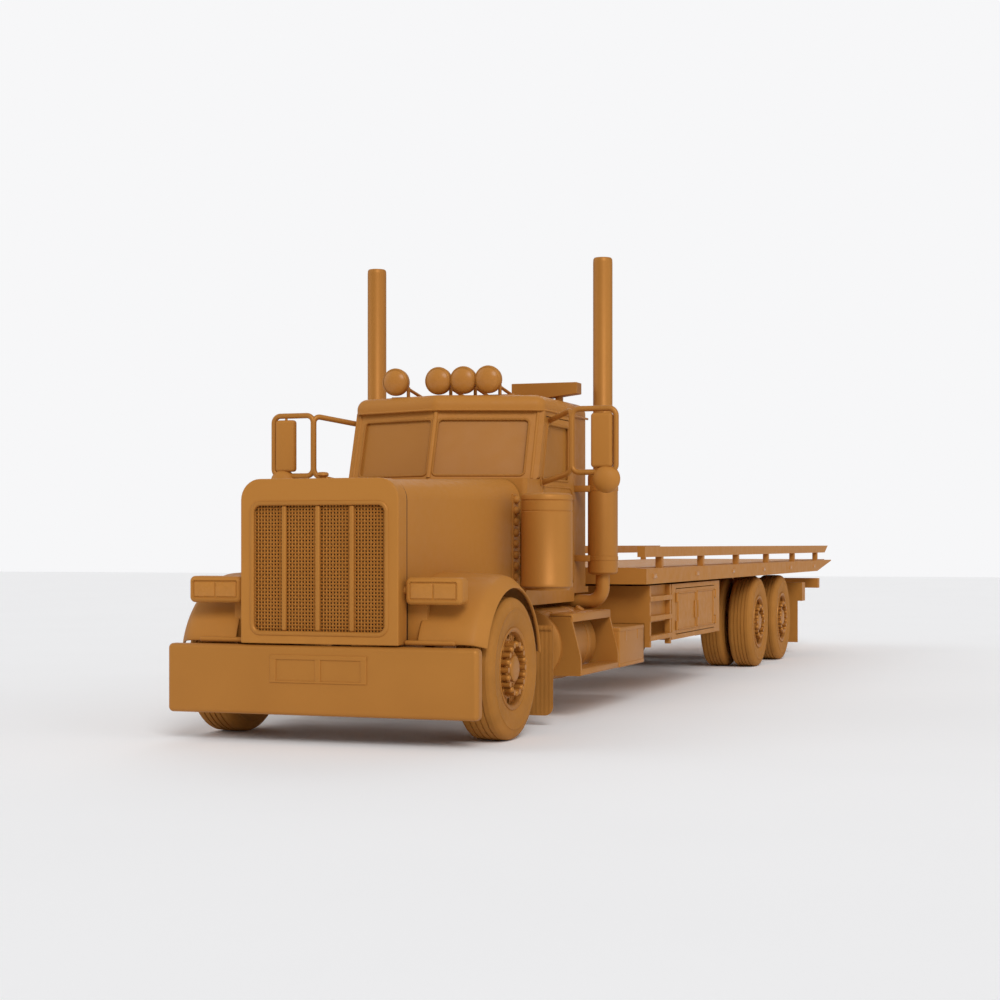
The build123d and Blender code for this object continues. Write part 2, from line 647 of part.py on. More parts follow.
with BuildPart() as cab_front:
    loft([windshield_plan(COWL_TOP, 0, PILLAR_REAR), windshield_plan(CAB_TOP, 0, PILLAR_REAR)])
    fillet(
        cab_front.edges().filter_by(lambda e: abs(e.center().Y) > CAB_HALF_W - 1).group_by(Axis.X)[-1],
        radius=28
    )
    loft(
        [
            windshield_plan(COWL_TOP - 1, CAB_WALL, PILLAR_REAR + 100),
            windshield_plan(CAB_TOP + 1, CAB_WALL, PILLAR_REAR + 100)
        ],
        mode=Mode.SUBTRACT,
    )
    for side in (1, -1):
        with BuildSketch(pane_plane(side).offset(30)) as opening:
            with BuildLine():
                Polyline(*pane_corners(side, 0), close=True)
            make_face()
            fillet(opening.vertices(), radius=PANE_CORNER)
        extrude(amount=-120, mode=Mode.SUBTRACT)
    block((behind(PILLAR_REAR), CAB_FRONT_X), (-CAB_HALF_W, CAB_HALF_W), (CAB_FLOOR_TOP, COWL_TOP))
    cowl_corners = cab_front.edges().filter_by(Axis.Z).group_by(Axis.X)[-1]
    fillet(cowl_corners, radius=40)
    block(
        (behind(PILLAR_REAR) - 1, CAB_FRONT_X - CAB_WALL), (-SIDE_IN, SIDE_IN),
        (CAB_FLOOR_TOP - 1, COWL_TOP - COWL_SHELF), Mode.SUBTRACT,
    )
save(cab_front.part, "cab_front")

CAB_CORNER = 100.0          # rounding of the upright corners of cab back and roof
REAR_PANE_HALF_W = 480.0
REAR_PANE_LOW = 1980.0
REAR_PANE_TOP = 2400.0
with BuildPart() as cab_rear:
    block((CAB_REAR_X, behind(DOOR_REAR + SWING_GAP)), (-CAB_HALF_W, CAB_HALF_W), (CAB_FLOOR_TOP, CAB_TOP))
    fillet(cab_rear.edges().filter_by(Axis.Z).group_by(Axis.X)[0], radius=CAB_CORNER)
    block(
        (CAB_REAR_X + CAB_WALL, CAB_FRONT_X), (-SIDE_IN, SIDE_IN), (CAB_FLOOR_TOP - 1, CAB_TOP + 1),
        Mode.SUBTRACT
    )
    with BuildSketch(Plane.YZ.offset(CAB_REAR_X - 1)):
        rounded((-REAR_PANE_HALF_W, REAR_PANE_HALF_W), (REAR_PANE_LOW, REAR_PANE_TOP), 60)
    extrude(amount=CAB_WALL + 2, mode=Mode.SUBTRACT)
    for side in (1, -1):
        header = (side * SIDE_IN, side * CAB_HALF_W)
        block(
            (behind(DOOR_REAR + SWING_GAP), leaned(PILLAR_REAR, CAB_TOP) - RUN_GAP), header,
            (DOOR_TOP + SWING_GAP, CAB_TOP)
        )
save(cab_rear.part, "cab_rear")

ROOF_OVERHANG = 40.0
ROOF_SHELL = 45.0
ROOF_CROWN = 90.0           # rounding of the roof's upper edge
with BuildPart() as cab_roof:
    roof_nose_x = leaned(CAB_FRONT, CAB_TOP) + ROOF_OVERHANG
    roof_corner_x = roof_nose_x - WINDSHIELD_SWEEP
    with BuildSketch(Plane.XY.offset(CAB_TOP)):
        with BuildLine():
            Polyline(
                (roof_nose_x, 0), (roof_corner_x, CAB_HALF_W), (CAB_REAR_X, CAB_HALF_W),
                (CAB_REAR_X, -CAB_HALF_W),
                (roof_corner_x, -CAB_HALF_W), close=True,
            )
        make_face()
    extrude(amount=ROOF_H)
    fillet(cab_roof.edges().filter_by(Axis.Z), radius=CAB_CORNER)
    fillet(cab_roof.faces().sort_by(Axis.Z)[-1].edges(), radius=ROOF_CROWN)
    block(
        (CAB_REAR_X + 60, roof_corner_x - 110), (-SIDE_IN + 15, SIDE_IN - 15),
        (CAB_TOP - 1, CAB_TOP + ROOF_H - ROOF_SHELL), Mode.SUBTRACT,
    )
save(cab_roof.part, "cab_roof")

with BuildPart() as cab_glass:
    for side in (1, -1):
        with BuildSketch(pane_plane(side).offset(-16)) as pane:
            with BuildLine():
                Polyline(*pane_corners(side, RUN_GAP), close=True)
            make_face()
            fillet(pane.vertices(), radius=PANE_CORNER)
        extrude(amount=-GLASS)
    with BuildSketch(Plane.YZ.offset(CAB_REAR_X + 14)):
        pane_half = REAR_PANE_HALF_W - RUN_GAP
        rounded((-pane_half, pane_half), (REAR_PANE_LOW + RUN_GAP, REAR_PANE_TOP - RUN_GAP), 60)
    extrude(amount=GLASS)
save(cab_glass.part, "cab_glass")

SEAT_Y = 430.0
SEAT_HALF_W = 240.0
SEAT_REAR = DOOR_REAR + 20  # setbacks of the cushion's ends
SEAT_FRONT = SEAT_REAR - 490
SEAT_TOP = 1490.0
BACKREST_TOP = 2080.0
HEADREST_TOP = 2280.0
with BuildPart() as seats:
    for y in (SEAT_Y, -SEAT_Y):
        block(
            (behind(SEAT_REAR), behind(SEAT_FRONT)), (y - SEAT_HALF_W, y + SEAT_HALF_W),
            (CAB_FLOOR_TOP, SEAT_TOP)
        )
        block(
            (behind(SEAT_REAR + 50), behind(SEAT_REAR - 90)), (y - SEAT_HALF_W + 10, y + SEAT_HALF_W - 10),
            (SEAT_TOP - 10, BACKREST_TOP),
        )
        block(
            (behind(SEAT_REAR + 40), behind(SEAT_REAR - 60)), (y - 130, y + 130),
            (BACKREST_TOP - 10, HEADREST_TOP)
        )
save(seats.part, "seats")

DASH_REAR = CAB_FRONT + 310
DASH_LOW = 1560.0
DASH_TOP = 1880.0
WHEEL_R = 225.0
with BuildPart() as dashboard:
    dash_front = CAB_FRONT_X - CAB_WALL - RUN_GAP
    block(
        (behind(DASH_REAR), dash_front), (-SIDE_IN + SWING_GAP, SIDE_IN - SWING_GAP), (DASH_LOW, DASH_TOP)
    )
    fillet(dashboard.edges().filter_by(Axis.Y).group_by(Axis.X)[0], radius=60)
    rod((behind(DASH_REAR - 60), SEAT_Y, 1700), (behind(DASH_REAR + 160), SEAT_Y, 1860), 30)
    with BuildSketch(Plane(origin=(behind(DASH_REAR + 140), SEAT_Y, 1846), z_dir=(-0.81, 0, 0.59))):
        Circle(WHEEL_R)
        Circle(WHEEL_R - 30, mode=Mode.SUBTRACT)
        Rectangle(2 * WHEEL_R - 50, 40)
        Rectangle(40, 2 * WHEEL_R - 50)
    extrude(amount=30)
save(dashboard.part, "dashboard")

# Doors with their glass and mirrors, hinged on the front pillars

DOOR_SKIN_Y = CAB_HALF_W
DOOR_HINGE_R = 14.0
DOOR_HINGE_X = behind(DOOR_FRONT - SWING_GAP - 6)
DOOR_HINGE_Y = CAB_HALF_W + DOOR_HINGE_R + RUN_GAP
DOOR_HINGES = (1250, 1700)
WINDOW_FRONT = 1642.0       # at the cowl's height
WINDOW_REAR = 2330.0
WINDOW_LOW = 1955.0
WINDOW_TOP = 2415.0


def window_outline(inset):
    """The door window seen from the side, its front edge along the windshield's rake."""
    low, top = WINDOW_LOW + inset, WINDOW_TOP - inset
    rear_x = behind(WINDOW_REAR) + inset
    with BuildLine() as outline:
        Polyline(
            (rear_x, low), (leaned(WINDOW_FRONT, low) - inset, low), (leaned(WINDOW_FRONT, top) - inset, top),
            (rear_x, top), close=True,
        )
    return outline.edges()


with BuildPart() as door:
    with BuildSketch(side_plane(DOOR_SKIN_Y)) as door_skin:
        with BuildLine():
            Polyline(
                (behind(DOOR_REAR), DOOR_LOW), (behind(DOOR_FRONT), DOOR_LOW),
                (behind(DOOR_FRONT), COWL_TOP),
                (leaned(DOOR_FRONT, DOOR_TOP), DOOR_TOP), (behind(DOOR_REAR), DOOR_TOP), close=True,
            )
        make_face()
        fillet(door_skin.vertices().group_by(Axis.Y)[0], radius=60)
        fillet(door_skin.vertices().group_by(Axis.Y)[-1], radius=40)
        make_face(window_outline(0), mode=Mode.SUBTRACT)
    extrude(amount=CAB_WALL)
    for z in DOOR_HINGES:
        rod((DOOR_HINGE_X, DOOR_HINGE_Y, z - 60), (DOOR_HINGE_X, DOOR_HINGE_Y, z + 60), DOOR_HINGE_R)
        block((DOOR_HINGE_X - 130, DOOR_HINGE_X), (DOOR_SKIN_Y + 2, DOOR_SKIN_Y + 12), (z - 40, z + 40))
        block(
            (DOOR_HINGE_X - 130, behind(DOOR_FRONT)), (DOOR_SKIN_Y - 2, DOOR_SKIN_Y + 12), (z - 40, z + 40)
        )
    block(
        (behind(DOOR_REAR - 35), behind(DOOR_REAR - 165)), (DOOR_SKIN_Y - 2, DOOR_SKIN_Y + 22), (1790, 1840)
    )
save_pair(door.part, "door")

with BuildPart() as door_glass:
    with BuildSketch(side_plane(DOOR_SKIN_Y - 18)):
        make_face(window_outline(RUN_GAP))
    extrude(amount=GLASS)
save_pair(door_glass.part, "door_glass")

MIRROR_X = behind(DOOR_FRONT - 100)
MIRROR_IN = 1150.0
MIRROR_OUT = 1510.0
MIRROR_LOW = 2000.0
MIRROR_TOP = 2510.0
MIRROR_TUBE_R = 18.0
MIRROR_HEAD_W = 168.0
MIRROR_HEAD_Y = MIRROR_OUT - MIRROR_HEAD_W / 2 - 26
SPOT_R = 108.0
SPOT_Z = 1945.0
SPOT_Y = MIRROR_OUT - 63
ARM_FEET = (
    (behind(DOOR_FRONT + 35), WINDOW_LOW - 32),
    (leaned(WINDOW_FRONT, WINDOW_TOP) - 40, (WINDOW_TOP + DOOR_TOP) / 2)
)
with BuildPart() as mirror_assembly:
    corners = [(MIRROR_X, y, z) for y, z in (
        (MIRROR_IN, MIRROR_LOW), (MIRROR_OUT, MIRROR_LOW), (MIRROR_OUT, MIRROR_TOP), (MIRROR_IN, MIRROR_TOP)
    )]
    for start, end in zip(corners, corners[1:] + corners[:1]):
        rod(start, end, MIRROR_TUBE_R)
        with Locations(start):
            Sphere(MIRROR_TUBE_R)
    for (foot_x, foot_z), z in zip(ARM_FEET, (MIRROR_LOW, MIRROR_TOP)):
        rod((MIRROR_X, MIRROR_IN, z), (foot_x, DOOR_SKIN_Y + 22, foot_z), MIRROR_TUBE_R)
        block((foot_x - 26, foot_x + 26), (DOOR_SKIN_Y, DOOR_SKIN_Y + 28), (foot_z - 24, foot_z + 24))
    with BuildSketch(Plane.YZ.offset(MIRROR_X - 25)):
        head = (MIRROR_HEAD_Y - MIRROR_HEAD_W / 2, MIRROR_HEAD_Y + MIRROR_HEAD_W / 2)
        rounded(head, (MIRROR_LOW + 40, MIRROR_TOP - 40), 24)
    extrude(amount=60)
    for low, high in ((MIRROR_LOW, MIRROR_LOW + 45), (MIRROR_TOP - 45, MIRROR_TOP)):
        rod((MIRROR_X, MIRROR_HEAD_Y, low), (MIRROR_X, MIRROR_HEAD_Y, high), 12)
    rod((MIRROR_X - 30, SPOT_Y, SPOT_Z), (MIRROR_X + 20, SPOT_Y, SPOT_Z), SPOT_R)
save_pair(mirror_assembly.part, "mirror")

# Roof lamps and light bar

ROOF_TOP = CAB_TOP + ROOF_H
LAMP_YS = (-454, -67, 155, 375)
LAMP_R = 116.0
LAMP_Z = 2783.0
LAMP_X = behind(1640)
BAR_REAR = 2580.0
BAR_IN = 355.0
BAR_OUT = 885.0
BAR_LOW = ROOF_TOP + 75
with BuildPart() as roof_lamps:
    block((LAMP_X - 40, LAMP_X + 10), (-470, 470), (ROOF_TOP, ROOF_TOP + 18))
    for y in LAMP_YS:
        rod((LAMP_X - 60, y, LAMP_Z), (LAMP_X + 40, y, LAMP_Z), LAMP_R)
        block((LAMP_X - 30, LAMP_X), (y - 35, y + 35), (ROOF_TOP, LAMP_Z))
    block((behind(BAR_REAR), behind(BAR_REAR - 140)), (BAR_IN, BAR_OUT), (BAR_LOW, BAR_LOW + 90))
    for y in (BAR_IN + 90, BAR_OUT - 180):
        block((behind(BAR_REAR - 40), behind(BAR_REAR - 100)), (y - 30, y + 30), (ROOF_TOP, BAR_LOW + 10))
save(roof_lamps.part, "roof_lamps")

# Air cleaners and exhaust stacks

CLEANER_X = behind(1015)
CLEANER_Y = 1100.0
CLEANER_R = 206.0
CLEANER_LOW = 1065.0
CLEANER_TOP = 1822.0
with BuildPart() as air_cleaners:
    rod((CLEANER_X, CLEANER_Y, CLEANER_LOW), (CLEANER_X, CLEANER_Y, CLEANER_TOP), CLEANER_R - 14)
    for low, high in (
        (CLEANER_LOW, CLEANER_LOW + 40), (CLEANER_TOP - 180, CLEANER_TOP - 140),
        (CLEANER_TOP - 70, CLEANER_TOP - 20)
    ):
        rod((CLEANER_X, CLEANER_Y, low), (CLEANER_X, CLEANER_Y, high), CLEANER_R)
    for z in (1200, 1640):
        block((CAB_FRONT_X - 80, CLEANER_X - 150), (CAB_HALF_W, CAB_HALF_W + 14), (z - 30, z + 30))
        block((CLEANER_X - 190, CLEANER_X - 130), (CAB_HALF_W, CLEANER_Y), (z - 30, z + 30))
    mirror(about=Plane.XZ)
save(air_cleaners.part, "air_cleaners")

STACK_SETBACK = 2620.0
STACK_X = behind(STACK_SETBACK)
STACK_Y = 1065.0
STACK_R = 80.0
STACK_TOP = 3900.0
MUFFLER_R = 130.0
MUFFLER_LOW = 1156.0
MUFFLER_TOP = 2040.0
PIPE_R = 62.0
PIPE_Z = 925.0
with BuildPart() as exhaust_stacks:
    rod((STACK_X, STACK_Y, MUFFLER_LOW), (STACK_X, STACK_Y, MUFFLER_TOP), MUFFLER_R)
    rod((STACK_X, STACK_Y, MUFFLER_TOP), (STACK_X, STACK_Y, STACK_TOP), STACK_R)
    rod((STACK_X, STACK_Y, STACK_TOP - 400), (STACK_X, STACK_Y, STACK_TOP + 1), STACK_R - 6, Mode.SUBTRACT)
    rod((STACK_X, STACK_Y, PIPE_Z), (STACK_X, STACK_Y, MUFFLER_LOW), PIPE_R)
    with Locations((STACK_X, STACK_Y, PIPE_Z)):
        Sphere(PIPE_R)
    rod((STACK_X, RAIL_OUTER_Y, PIPE_Z), (STACK_X, STACK_Y, PIPE_Z), PIPE_R)
    for z in (1300, 1900):
        block((STACK_X + 60, STACK_X + 120), (CAB_HALF_W, STACK_Y - 65), (z - 30, z + 30))
    mirror(about=Plane.XZ)
save(exhaust_stacks.part, "exhaust_stacks")

# Fuel tanks, steps and side boxes under the cab

TANK_R = 308.0
TANK_Y = RAIL_OUTER_Y + TANK_R + RUN_GAP
TANK_Z = 590.0
TANK_FRONT = 1500.0
TANK_REAR = 2540.0
with BuildPart() as fuel_tanks:
    rod((behind(TANK_REAR), TANK_Y, TANK_Z), (behind(TANK_FRONT), TANK_Y, TANK_Z), TANK_R)
    fillet(fuel_tanks.edges().filter_by(GeomType.CIRCLE), radius=45)
    for setback in (TANK_FRONT + 250, TANK_REAR - 250):
        block(
            (behind(setback + 40), behind(setback - 40)), (RAIL_OUTER_Y, TANK_Y),
            (TANK_Z + 180, TANK_Z + 280)
        )
    mirror(about=Plane.XZ)
save(fuel_tanks.part, "fuel_tanks")

STEP_FRONT = 1560.0
STEP_REAR = 2640.0
BOX_REAR = 3415.0
SKIRT_LOW = 355.0
SKIRT_OUT = 1204.0
STEP_TOP = 835.0
STEP_TOP_OUT = 1118.0
with BuildPart() as cab_steps:
    for setback in (STEP_FRONT, STEP_REAR - 30):
        with BuildSketch(Plane.YZ.offset(behind(setback + 30))):
            with BuildLine():
                Polyline(
                    (TANK_Y + 60, SKIRT_LOW), (SKIRT_OUT, SKIRT_LOW), (SKIRT_OUT, 500),
                    (STEP_TOP_OUT, STEP_TOP),
                    (TANK_Y + 60, STEP_TOP), close=True,
                )
            make_face()
            with Locations((TANK_Y, TANK_Z)):
                Circle(TANK_R + RUN_GAP, mode=Mode.SUBTRACT)
        extrude(amount=30)
    block(
        (behind(STEP_REAR), behind(STEP_FRONT)), (TANK_Y + 194, STEP_TOP_OUT + 12),
        (STEP_TOP - 2, STEP_TOP + 24)
    )
    block((behind(STEP_REAR), behind(STEP_FRONT)), (1010, SKIRT_OUT), (SKIRT_LOW, SKIRT_LOW + 55))
    mirror(about=Plane.XZ)
save(cab_steps.part, "cab_steps")

with BuildPart() as side_boxes:
    block((behind(BOX_REAR), behind(STEP_REAR)), (RAIL_OUTER_Y, SKIRT_OUT), (SKIRT_LOW, 700))
    block(
        (behind(BOX_REAR), behind(STEP_REAR)), (SKIRT_OUT - 30, SKIRT_OUT + 10), (SKIRT_LOW, SKIRT_LOW + 60)
    )
    mirror(about=Plane.XZ)
save(side_boxes.part, "side_boxes")

# Mud flaps: one behind each front wheel, one behind each rear pair

FLAP = 12.0
FRONT_FLAP = 1010.0
with BuildPart() as front_flaps:
    flap_x = behind(FRONT_FLAP)
    block((flap_x - FLAP, flap_x), (850, 1150), (85, 790))
    fillet(front_flaps.edges().filter_by(Axis.X).group_by(Axis.Z)[0], radius=70)
    rod((flap_x - FLAP / 2, RAIL_OUTER_Y, 765), (flap_x - FLAP / 2, 1140, 765), 22)
    mirror(about=Plane.XZ)
save(front_flaps.part, "front_flaps")

TAIL_BEAM_FRONT = RAIL_REAR
TAIL_BEAM_REAR = 11250.0
TAIL_BEAM_TOP = 920.0
LUG_IN = RAIL_OUTER_Y + 6   # the bed's pivot lugs, and the ears outside them
LUG_OUT = LUG_IN + 34
EAR_OUT = LUG_OUT + 34
PIVOT_X = behind(BED_PIVOT_SETBACK)
with BuildPart() as rear_bumper:
    block((behind(TAIL_BEAM_REAR), behind(TAIL_BEAM_FRONT)), (-1205, 1205), (RAIL_BOTTOM, TAIL_BEAM_TOP))
    for side in (1, -1):
        block(
            (behind(TAIL_BEAM_FRONT + FLAP), behind(TAIL_BEAM_FRONT)), (side * 620, side * 1145),
            (140, RAIL_BOTTOM + 5)
        )
        block(
            (PIVOT_X - 45, PIVOT_X + 45), (side * (LUG_OUT + 6), side * EAR_OUT),
            (TAIL_BEAM_TOP - 5, BED_PIVOT_Z + 45)
        )
        rod((PIVOT_X, side * LUG_IN, BED_PIVOT_Z), (PIVOT_X, side * EAR_OUT, BED_PIVOT_Z), PIVOT_PIN_R)
save(rear_bumper.part, "rear_bumper")

# Tool boxes with two leaves each, and the ladders ahead of them

BOX_FRONT = 3540.0
LADDER_REAR = 4300.0
TOOL_FRONT = 4330.0
TOOL_REAR = 6276.0
TOOL_INSET = 30.0           # bed side to tool box face
TOOL_OUT = BED_WIDTH / 2 - TOOL_INSET
TOOL_LOW = 510.0
TOOL_TOP = 1040.0
TOOL_WALL = 25.0
LEAF_FRONT = 4482.0
LEAF_SPLIT = 5260.0
LEAF_REAR = 6038.0
LEAF_LOW = 562.0
LEAF_TOP = 990.0
LEAF = 22.0
with BuildPart() as toolboxes:
    block((behind(TOOL_REAR), behind(TOOL_FRONT)), (RAIL_OUTER_Y, TOOL_OUT), (TOOL_LOW, TOOL_TOP))
    block(
        (behind(TOOL_REAR - TOOL_WALL), behind(TOOL_FRONT + TOOL_WALL)),
        (RAIL_OUTER_Y + TOOL_WALL, TOOL_OUT - TOOL_WALL),
        (TOOL_LOW + TOOL_WALL, TOOL_TOP - TOOL_WALL), Mode.SUBTRACT,
    )
    block(
        (behind(LEAF_REAR + SWING_GAP), behind(LEAF_FRONT - SWING_GAP)), (TOOL_OUT - 60, TOOL_OUT + 1),
        (LEAF_LOW - SWING_GAP, LEAF_TOP + SWING_GAP), Mode.SUBTRACT,
    )
    mirror(about=Plane.XZ)
save(toolboxes.part, "toolboxes")

HINGE_BARREL_R = 10.0
LEAF_OUT = TOOL_OUT + 2
LEAF_HINGE_Y = TOOL_OUT + HINGE_BARREL_R + RUN_GAP
LEAVES = {
    "front": (LEAF_FRONT, LEAF_SPLIT - 4, LEAF_FRONT - SWING_GAP - 4),
    "rear": (LEAF_SPLIT + 4, LEAF_REAR, LEAF_REAR + SWING_GAP + 4),
}
for place, (fore, aft, hinge) in LEAVES.items():
    with BuildPart() as leaf:
        block((behind(aft), behind(fore)), (LEAF_OUT - LEAF, LEAF_OUT), (LEAF_LOW, LEAF_TOP))
        inboard = 1 if place == "rear" else -1
        for z in (LEAF_LOW + 80, LEAF_TOP - 80):
            rod(
                (behind(hinge), LEAF_HINGE_Y, z - 45), (behind(hinge), LEAF_HINGE_Y, z + 45), HINGE_BARREL_R
            )
            block(
                (behind(hinge), behind(hinge) + inboard * 70), (LEAF_OUT - 1, LEAF_HINGE_Y),
                (z - 35, z + 35)
            )
        grip = LEAF_SPLIT - 60 if place == "front" else LEAF_SPLIT + 60
        block((behind(grip + 25), behind(grip - 25)), (LEAF_OUT - 1, LEAF_OUT + 14), (740, 810))
    save_pair(leaf.part, f"toolbox_leaf_{place}")

RUNG_ZS = (560, 740, 920)
with BuildPart() as ladders:
    block((behind(LADDER_REAR), behind(BOX_FRONT)), (RAIL_OUTER_Y, TOOL_OUT - 45), (700, TOOL_TOP))
    for setback in (BOX_FRONT, LADDER_REAR - 50):
        block((behind(setback + 50), behind(setback)), (TOOL_OUT - 50, TOOL_OUT), (480, TOOL_TOP))
    for z in RUNG_ZS:
        block((behind(LADDER_REAR), behind(BOX_FRONT)), (TOOL_OUT - 48, TOOL_OUT + 8), (z - 22, z + 22))
    mirror(about=Plane.XZ)
save(ladders.part, "ladders")

# Bed: tilting subframe, sliding deck and its side rails

BED_FRONT_X = behind(BED_SETBACK)
BED_REAR_X = BED_FRONT_X - BED_LENGTH
SUB_LOW = RAIL_TOP + RUN_GAP
SUB_TOP = 1040.0
PAD = 8.0
SUB_FRONT = 3480.0
SUB_REAR = 11300.0
SUB_IN = 345.0
SUB_OUT = 425.0
PAD_SETBACKS = (3700, 5600, 7500, 9400, 11100)
SUB_MEMBERS = (3540, 5450, 7350, 9250, 11150)
TAIL_BAR_FRONT = 11960.0    # bar across the tail, on a boom behind the pivot
TAIL_BAR_REAR = 12090.0
TAIL_BAR_INSET = 15.0
TAIL_BAR_HALF_W = BED_WIDTH / 2 - TAIL_BAR_INSET
TAIL_BAR_LOW = 830.0
BOOM_HALF_W = 90.0
with BuildPart() as bed_subframe:
    for side in (1, -1):
        block((behind(SUB_REAR), behind(SUB_FRONT)), (side * SUB_IN, side * SUB_OUT), (SUB_LOW, SUB_TOP))
        for setback in PAD_SETBACKS:
            block(
                (behind(setback + 150), behind(setback - 150)), (side * SUB_IN, side * SUB_OUT),
                (SUB_TOP - 1, SUB_TOP + PAD)
            )
        block((PIVOT_X - 45, PIVOT_X + 45), (side * (SUB_OUT - 5), side * LUG_OUT), (SUB_LOW, SUB_TOP))
        rod(
            (PIVOT_X, side * (LUG_IN - 6), BED_PIVOT_Z), (PIVOT_X, side * (LUG_OUT + 1), BED_PIVOT_Z),
            PIVOT_PIN_R + PIN_GAP, Mode.SUBTRACT,
        )
    for setback in SUB_MEMBERS:
        block((behind(setback + 45), behind(setback - 45)), (-SUB_IN, SUB_IN), (SUB_LOW + 10, SUB_TOP - 10))
    block((behind(SUB_REAR), behind(SUB_REAR - 100)), (-SUB_IN, SUB_IN), (SUB_LOW, SUB_TOP))
    block(
        (behind(TAIL_BAR_REAR - 50), behind(SUB_REAR - 10)), (-BOOM_HALF_W, BOOM_HALF_W),
        (SUB_LOW - 60, SUB_TOP - 20)
    )
    tail_bar = (TAIL_BAR_LOW, TAIL_BAR_LOW + 130)
    block((behind(TAIL_BAR_REAR), behind(TAIL_BAR_FRONT)), (-TAIL_BAR_HALF_W, TAIL_BAR_HALF_W), tail_bar)
save(bed_subframe.part, "bed_subframe")

DECK_LOW = SUB_TOP + PAD + RUN_GAP
RUNNER_IN = 350.0
RUNNER_OUT = 430.0
MEMBER_SPACING = 480.0
with BuildPart() as bed_deck:
    with BuildSketch(side_plane(BED_WIDTH / 2)):
        with BuildLine():
            Polyline(
                (BED_FRONT_X, SILL_LOW), (BED_FRONT_X, DECK_TOP), (BED_REAR_X, DECK_TOP),
                (BED_REAR_X, DECK_TOP - TAIL_TIP),
                (BED_REAR_X + TAIL_RISE, SILL_LOW), close=True,
            )
        make_face()
    extrude(amount=BED_WIDTH)
    sill_in = BED_WIDTH / 2 - SILL_W
    with BuildSketch(side_plane(sill_in)):
        with BuildLine():
            plate_low = DECK_TOP - DECK_PLATE
            Polyline(
                (BED_FRONT_X - SILL_W, SILL_LOW - 1), (BED_FRONT_X - SILL_W, plate_low),
                (BED_REAR_X + 220, plate_low), (BED_REAR_X + TAIL_RISE, SILL_LOW + 40),
                (BED_REAR_X + TAIL_RISE, SILL_LOW - 1), close=True,
            )
        make_face()
    extrude(amount=2 * sill_in, mode=Mode.SUBTRACT)
    for side in (1, -1):
        strip = (side * (sill_in + 5), side * (BED_WIDTH / 2 + 1))
        block((BED_REAR_X - 1, BED_FRONT_X + 1), strip, (DECK_TOP - SILL_STEP, DECK_TOP + 1), Mode.SUBTRACT)
    member_count = int((BED_LENGTH - TAIL_RISE - 300) / MEMBER_SPACING)
    for index in range(1, member_count + 1):
        x = BED_FRONT_X - index * MEMBER_SPACING
        block((x - 25, x + 25), (-sill_in - 1, sill_in + 1), (SILL_LOW + 45, plate_low + 1))
    for side in (1, -1):
        block(
            (BED_REAR_X + TAIL_RISE - 1, BED_FRONT_X - SILL_W + 1), (side * RUNNER_IN, side * RUNNER_OUT),
            (DECK_LOW, plate_low + 1)
        )
save(bed_deck.part, "bed_deck")

with BuildPart() as bed_rails:
    rail_out = BED_WIDTH / 2 - 20
    rail_low = RAIL_TUBE_TOP - RAIL_TUBE_H
    with BuildSketch(side_plane(rail_out)):
        with BuildLine():
            Polyline(
                (BED_FRONT_X - 20, rail_low), (BED_FRONT_X - 20, RAIL_TUBE_TOP),
                (BED_REAR_X + 150, RAIL_TUBE_TOP),
                (BED_REAR_X + 390, rail_low), close=True,
            )
        make_face()
    extrude(amount=RAIL_TUBE_W)
    post_spacing = (BED_LENGTH - POST_FIRST - POST_LAST) / (POST_COUNT - 1)
    for index in range(POST_COUNT):
        x = BED_FRONT_X - POST_FIRST - index * post_spacing
        block(
            (x - 35, x + 35), (rail_out - RAIL_TUBE_W + 5, rail_out - 5),
            (DECK_TOP - SILL_STEP, rail_low + 5)
        )
    mirror(about=Plane.XZ)
save(bed_rails.part, "bed_rails")
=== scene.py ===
# %% [markdown]
# # A flatbed truck, dressed for its picture
# The solids of this truck come in as a fixed frame: every piece keeps its place in metres, with +X to the
# front, +Y to the truck's left and +Z up. This notebook gives each solid a finish, and puts a finer piece
# in place of a solid wherever the real truck has more shape than the solid shows.

# %% Load the frame
import json
import math
import bmesh
import bpy
from mathutils import Matrix, Vector


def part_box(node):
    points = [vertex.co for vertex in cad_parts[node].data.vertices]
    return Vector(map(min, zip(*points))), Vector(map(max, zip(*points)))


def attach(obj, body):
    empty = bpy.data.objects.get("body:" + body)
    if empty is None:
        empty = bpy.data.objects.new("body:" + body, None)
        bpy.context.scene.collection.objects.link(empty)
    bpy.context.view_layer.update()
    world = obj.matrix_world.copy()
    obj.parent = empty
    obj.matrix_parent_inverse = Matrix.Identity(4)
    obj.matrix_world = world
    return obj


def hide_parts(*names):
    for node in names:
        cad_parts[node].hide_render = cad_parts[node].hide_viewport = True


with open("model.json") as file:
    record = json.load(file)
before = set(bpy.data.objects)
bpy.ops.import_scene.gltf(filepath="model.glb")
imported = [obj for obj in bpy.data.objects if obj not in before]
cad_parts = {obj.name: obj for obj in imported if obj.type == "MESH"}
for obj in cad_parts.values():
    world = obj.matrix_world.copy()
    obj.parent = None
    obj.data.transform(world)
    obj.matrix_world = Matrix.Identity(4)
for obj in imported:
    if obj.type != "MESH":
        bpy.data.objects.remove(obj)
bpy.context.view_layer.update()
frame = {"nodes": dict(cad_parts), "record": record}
AXLE_X = 6.065

# %% [markdown]
# ## Camera and light
# The truck was seen from ahead and to its left, at about chest height, through a long lens held level. A
# level camera keeps upright edges upright, so the frame is centred with lens shift instead of tilt. The
# light is soft and even, as in a white room: one broad lamp high in front, weaker ones from left, right
# and behind, all wide enough to blur their shadows, over a pale floor.

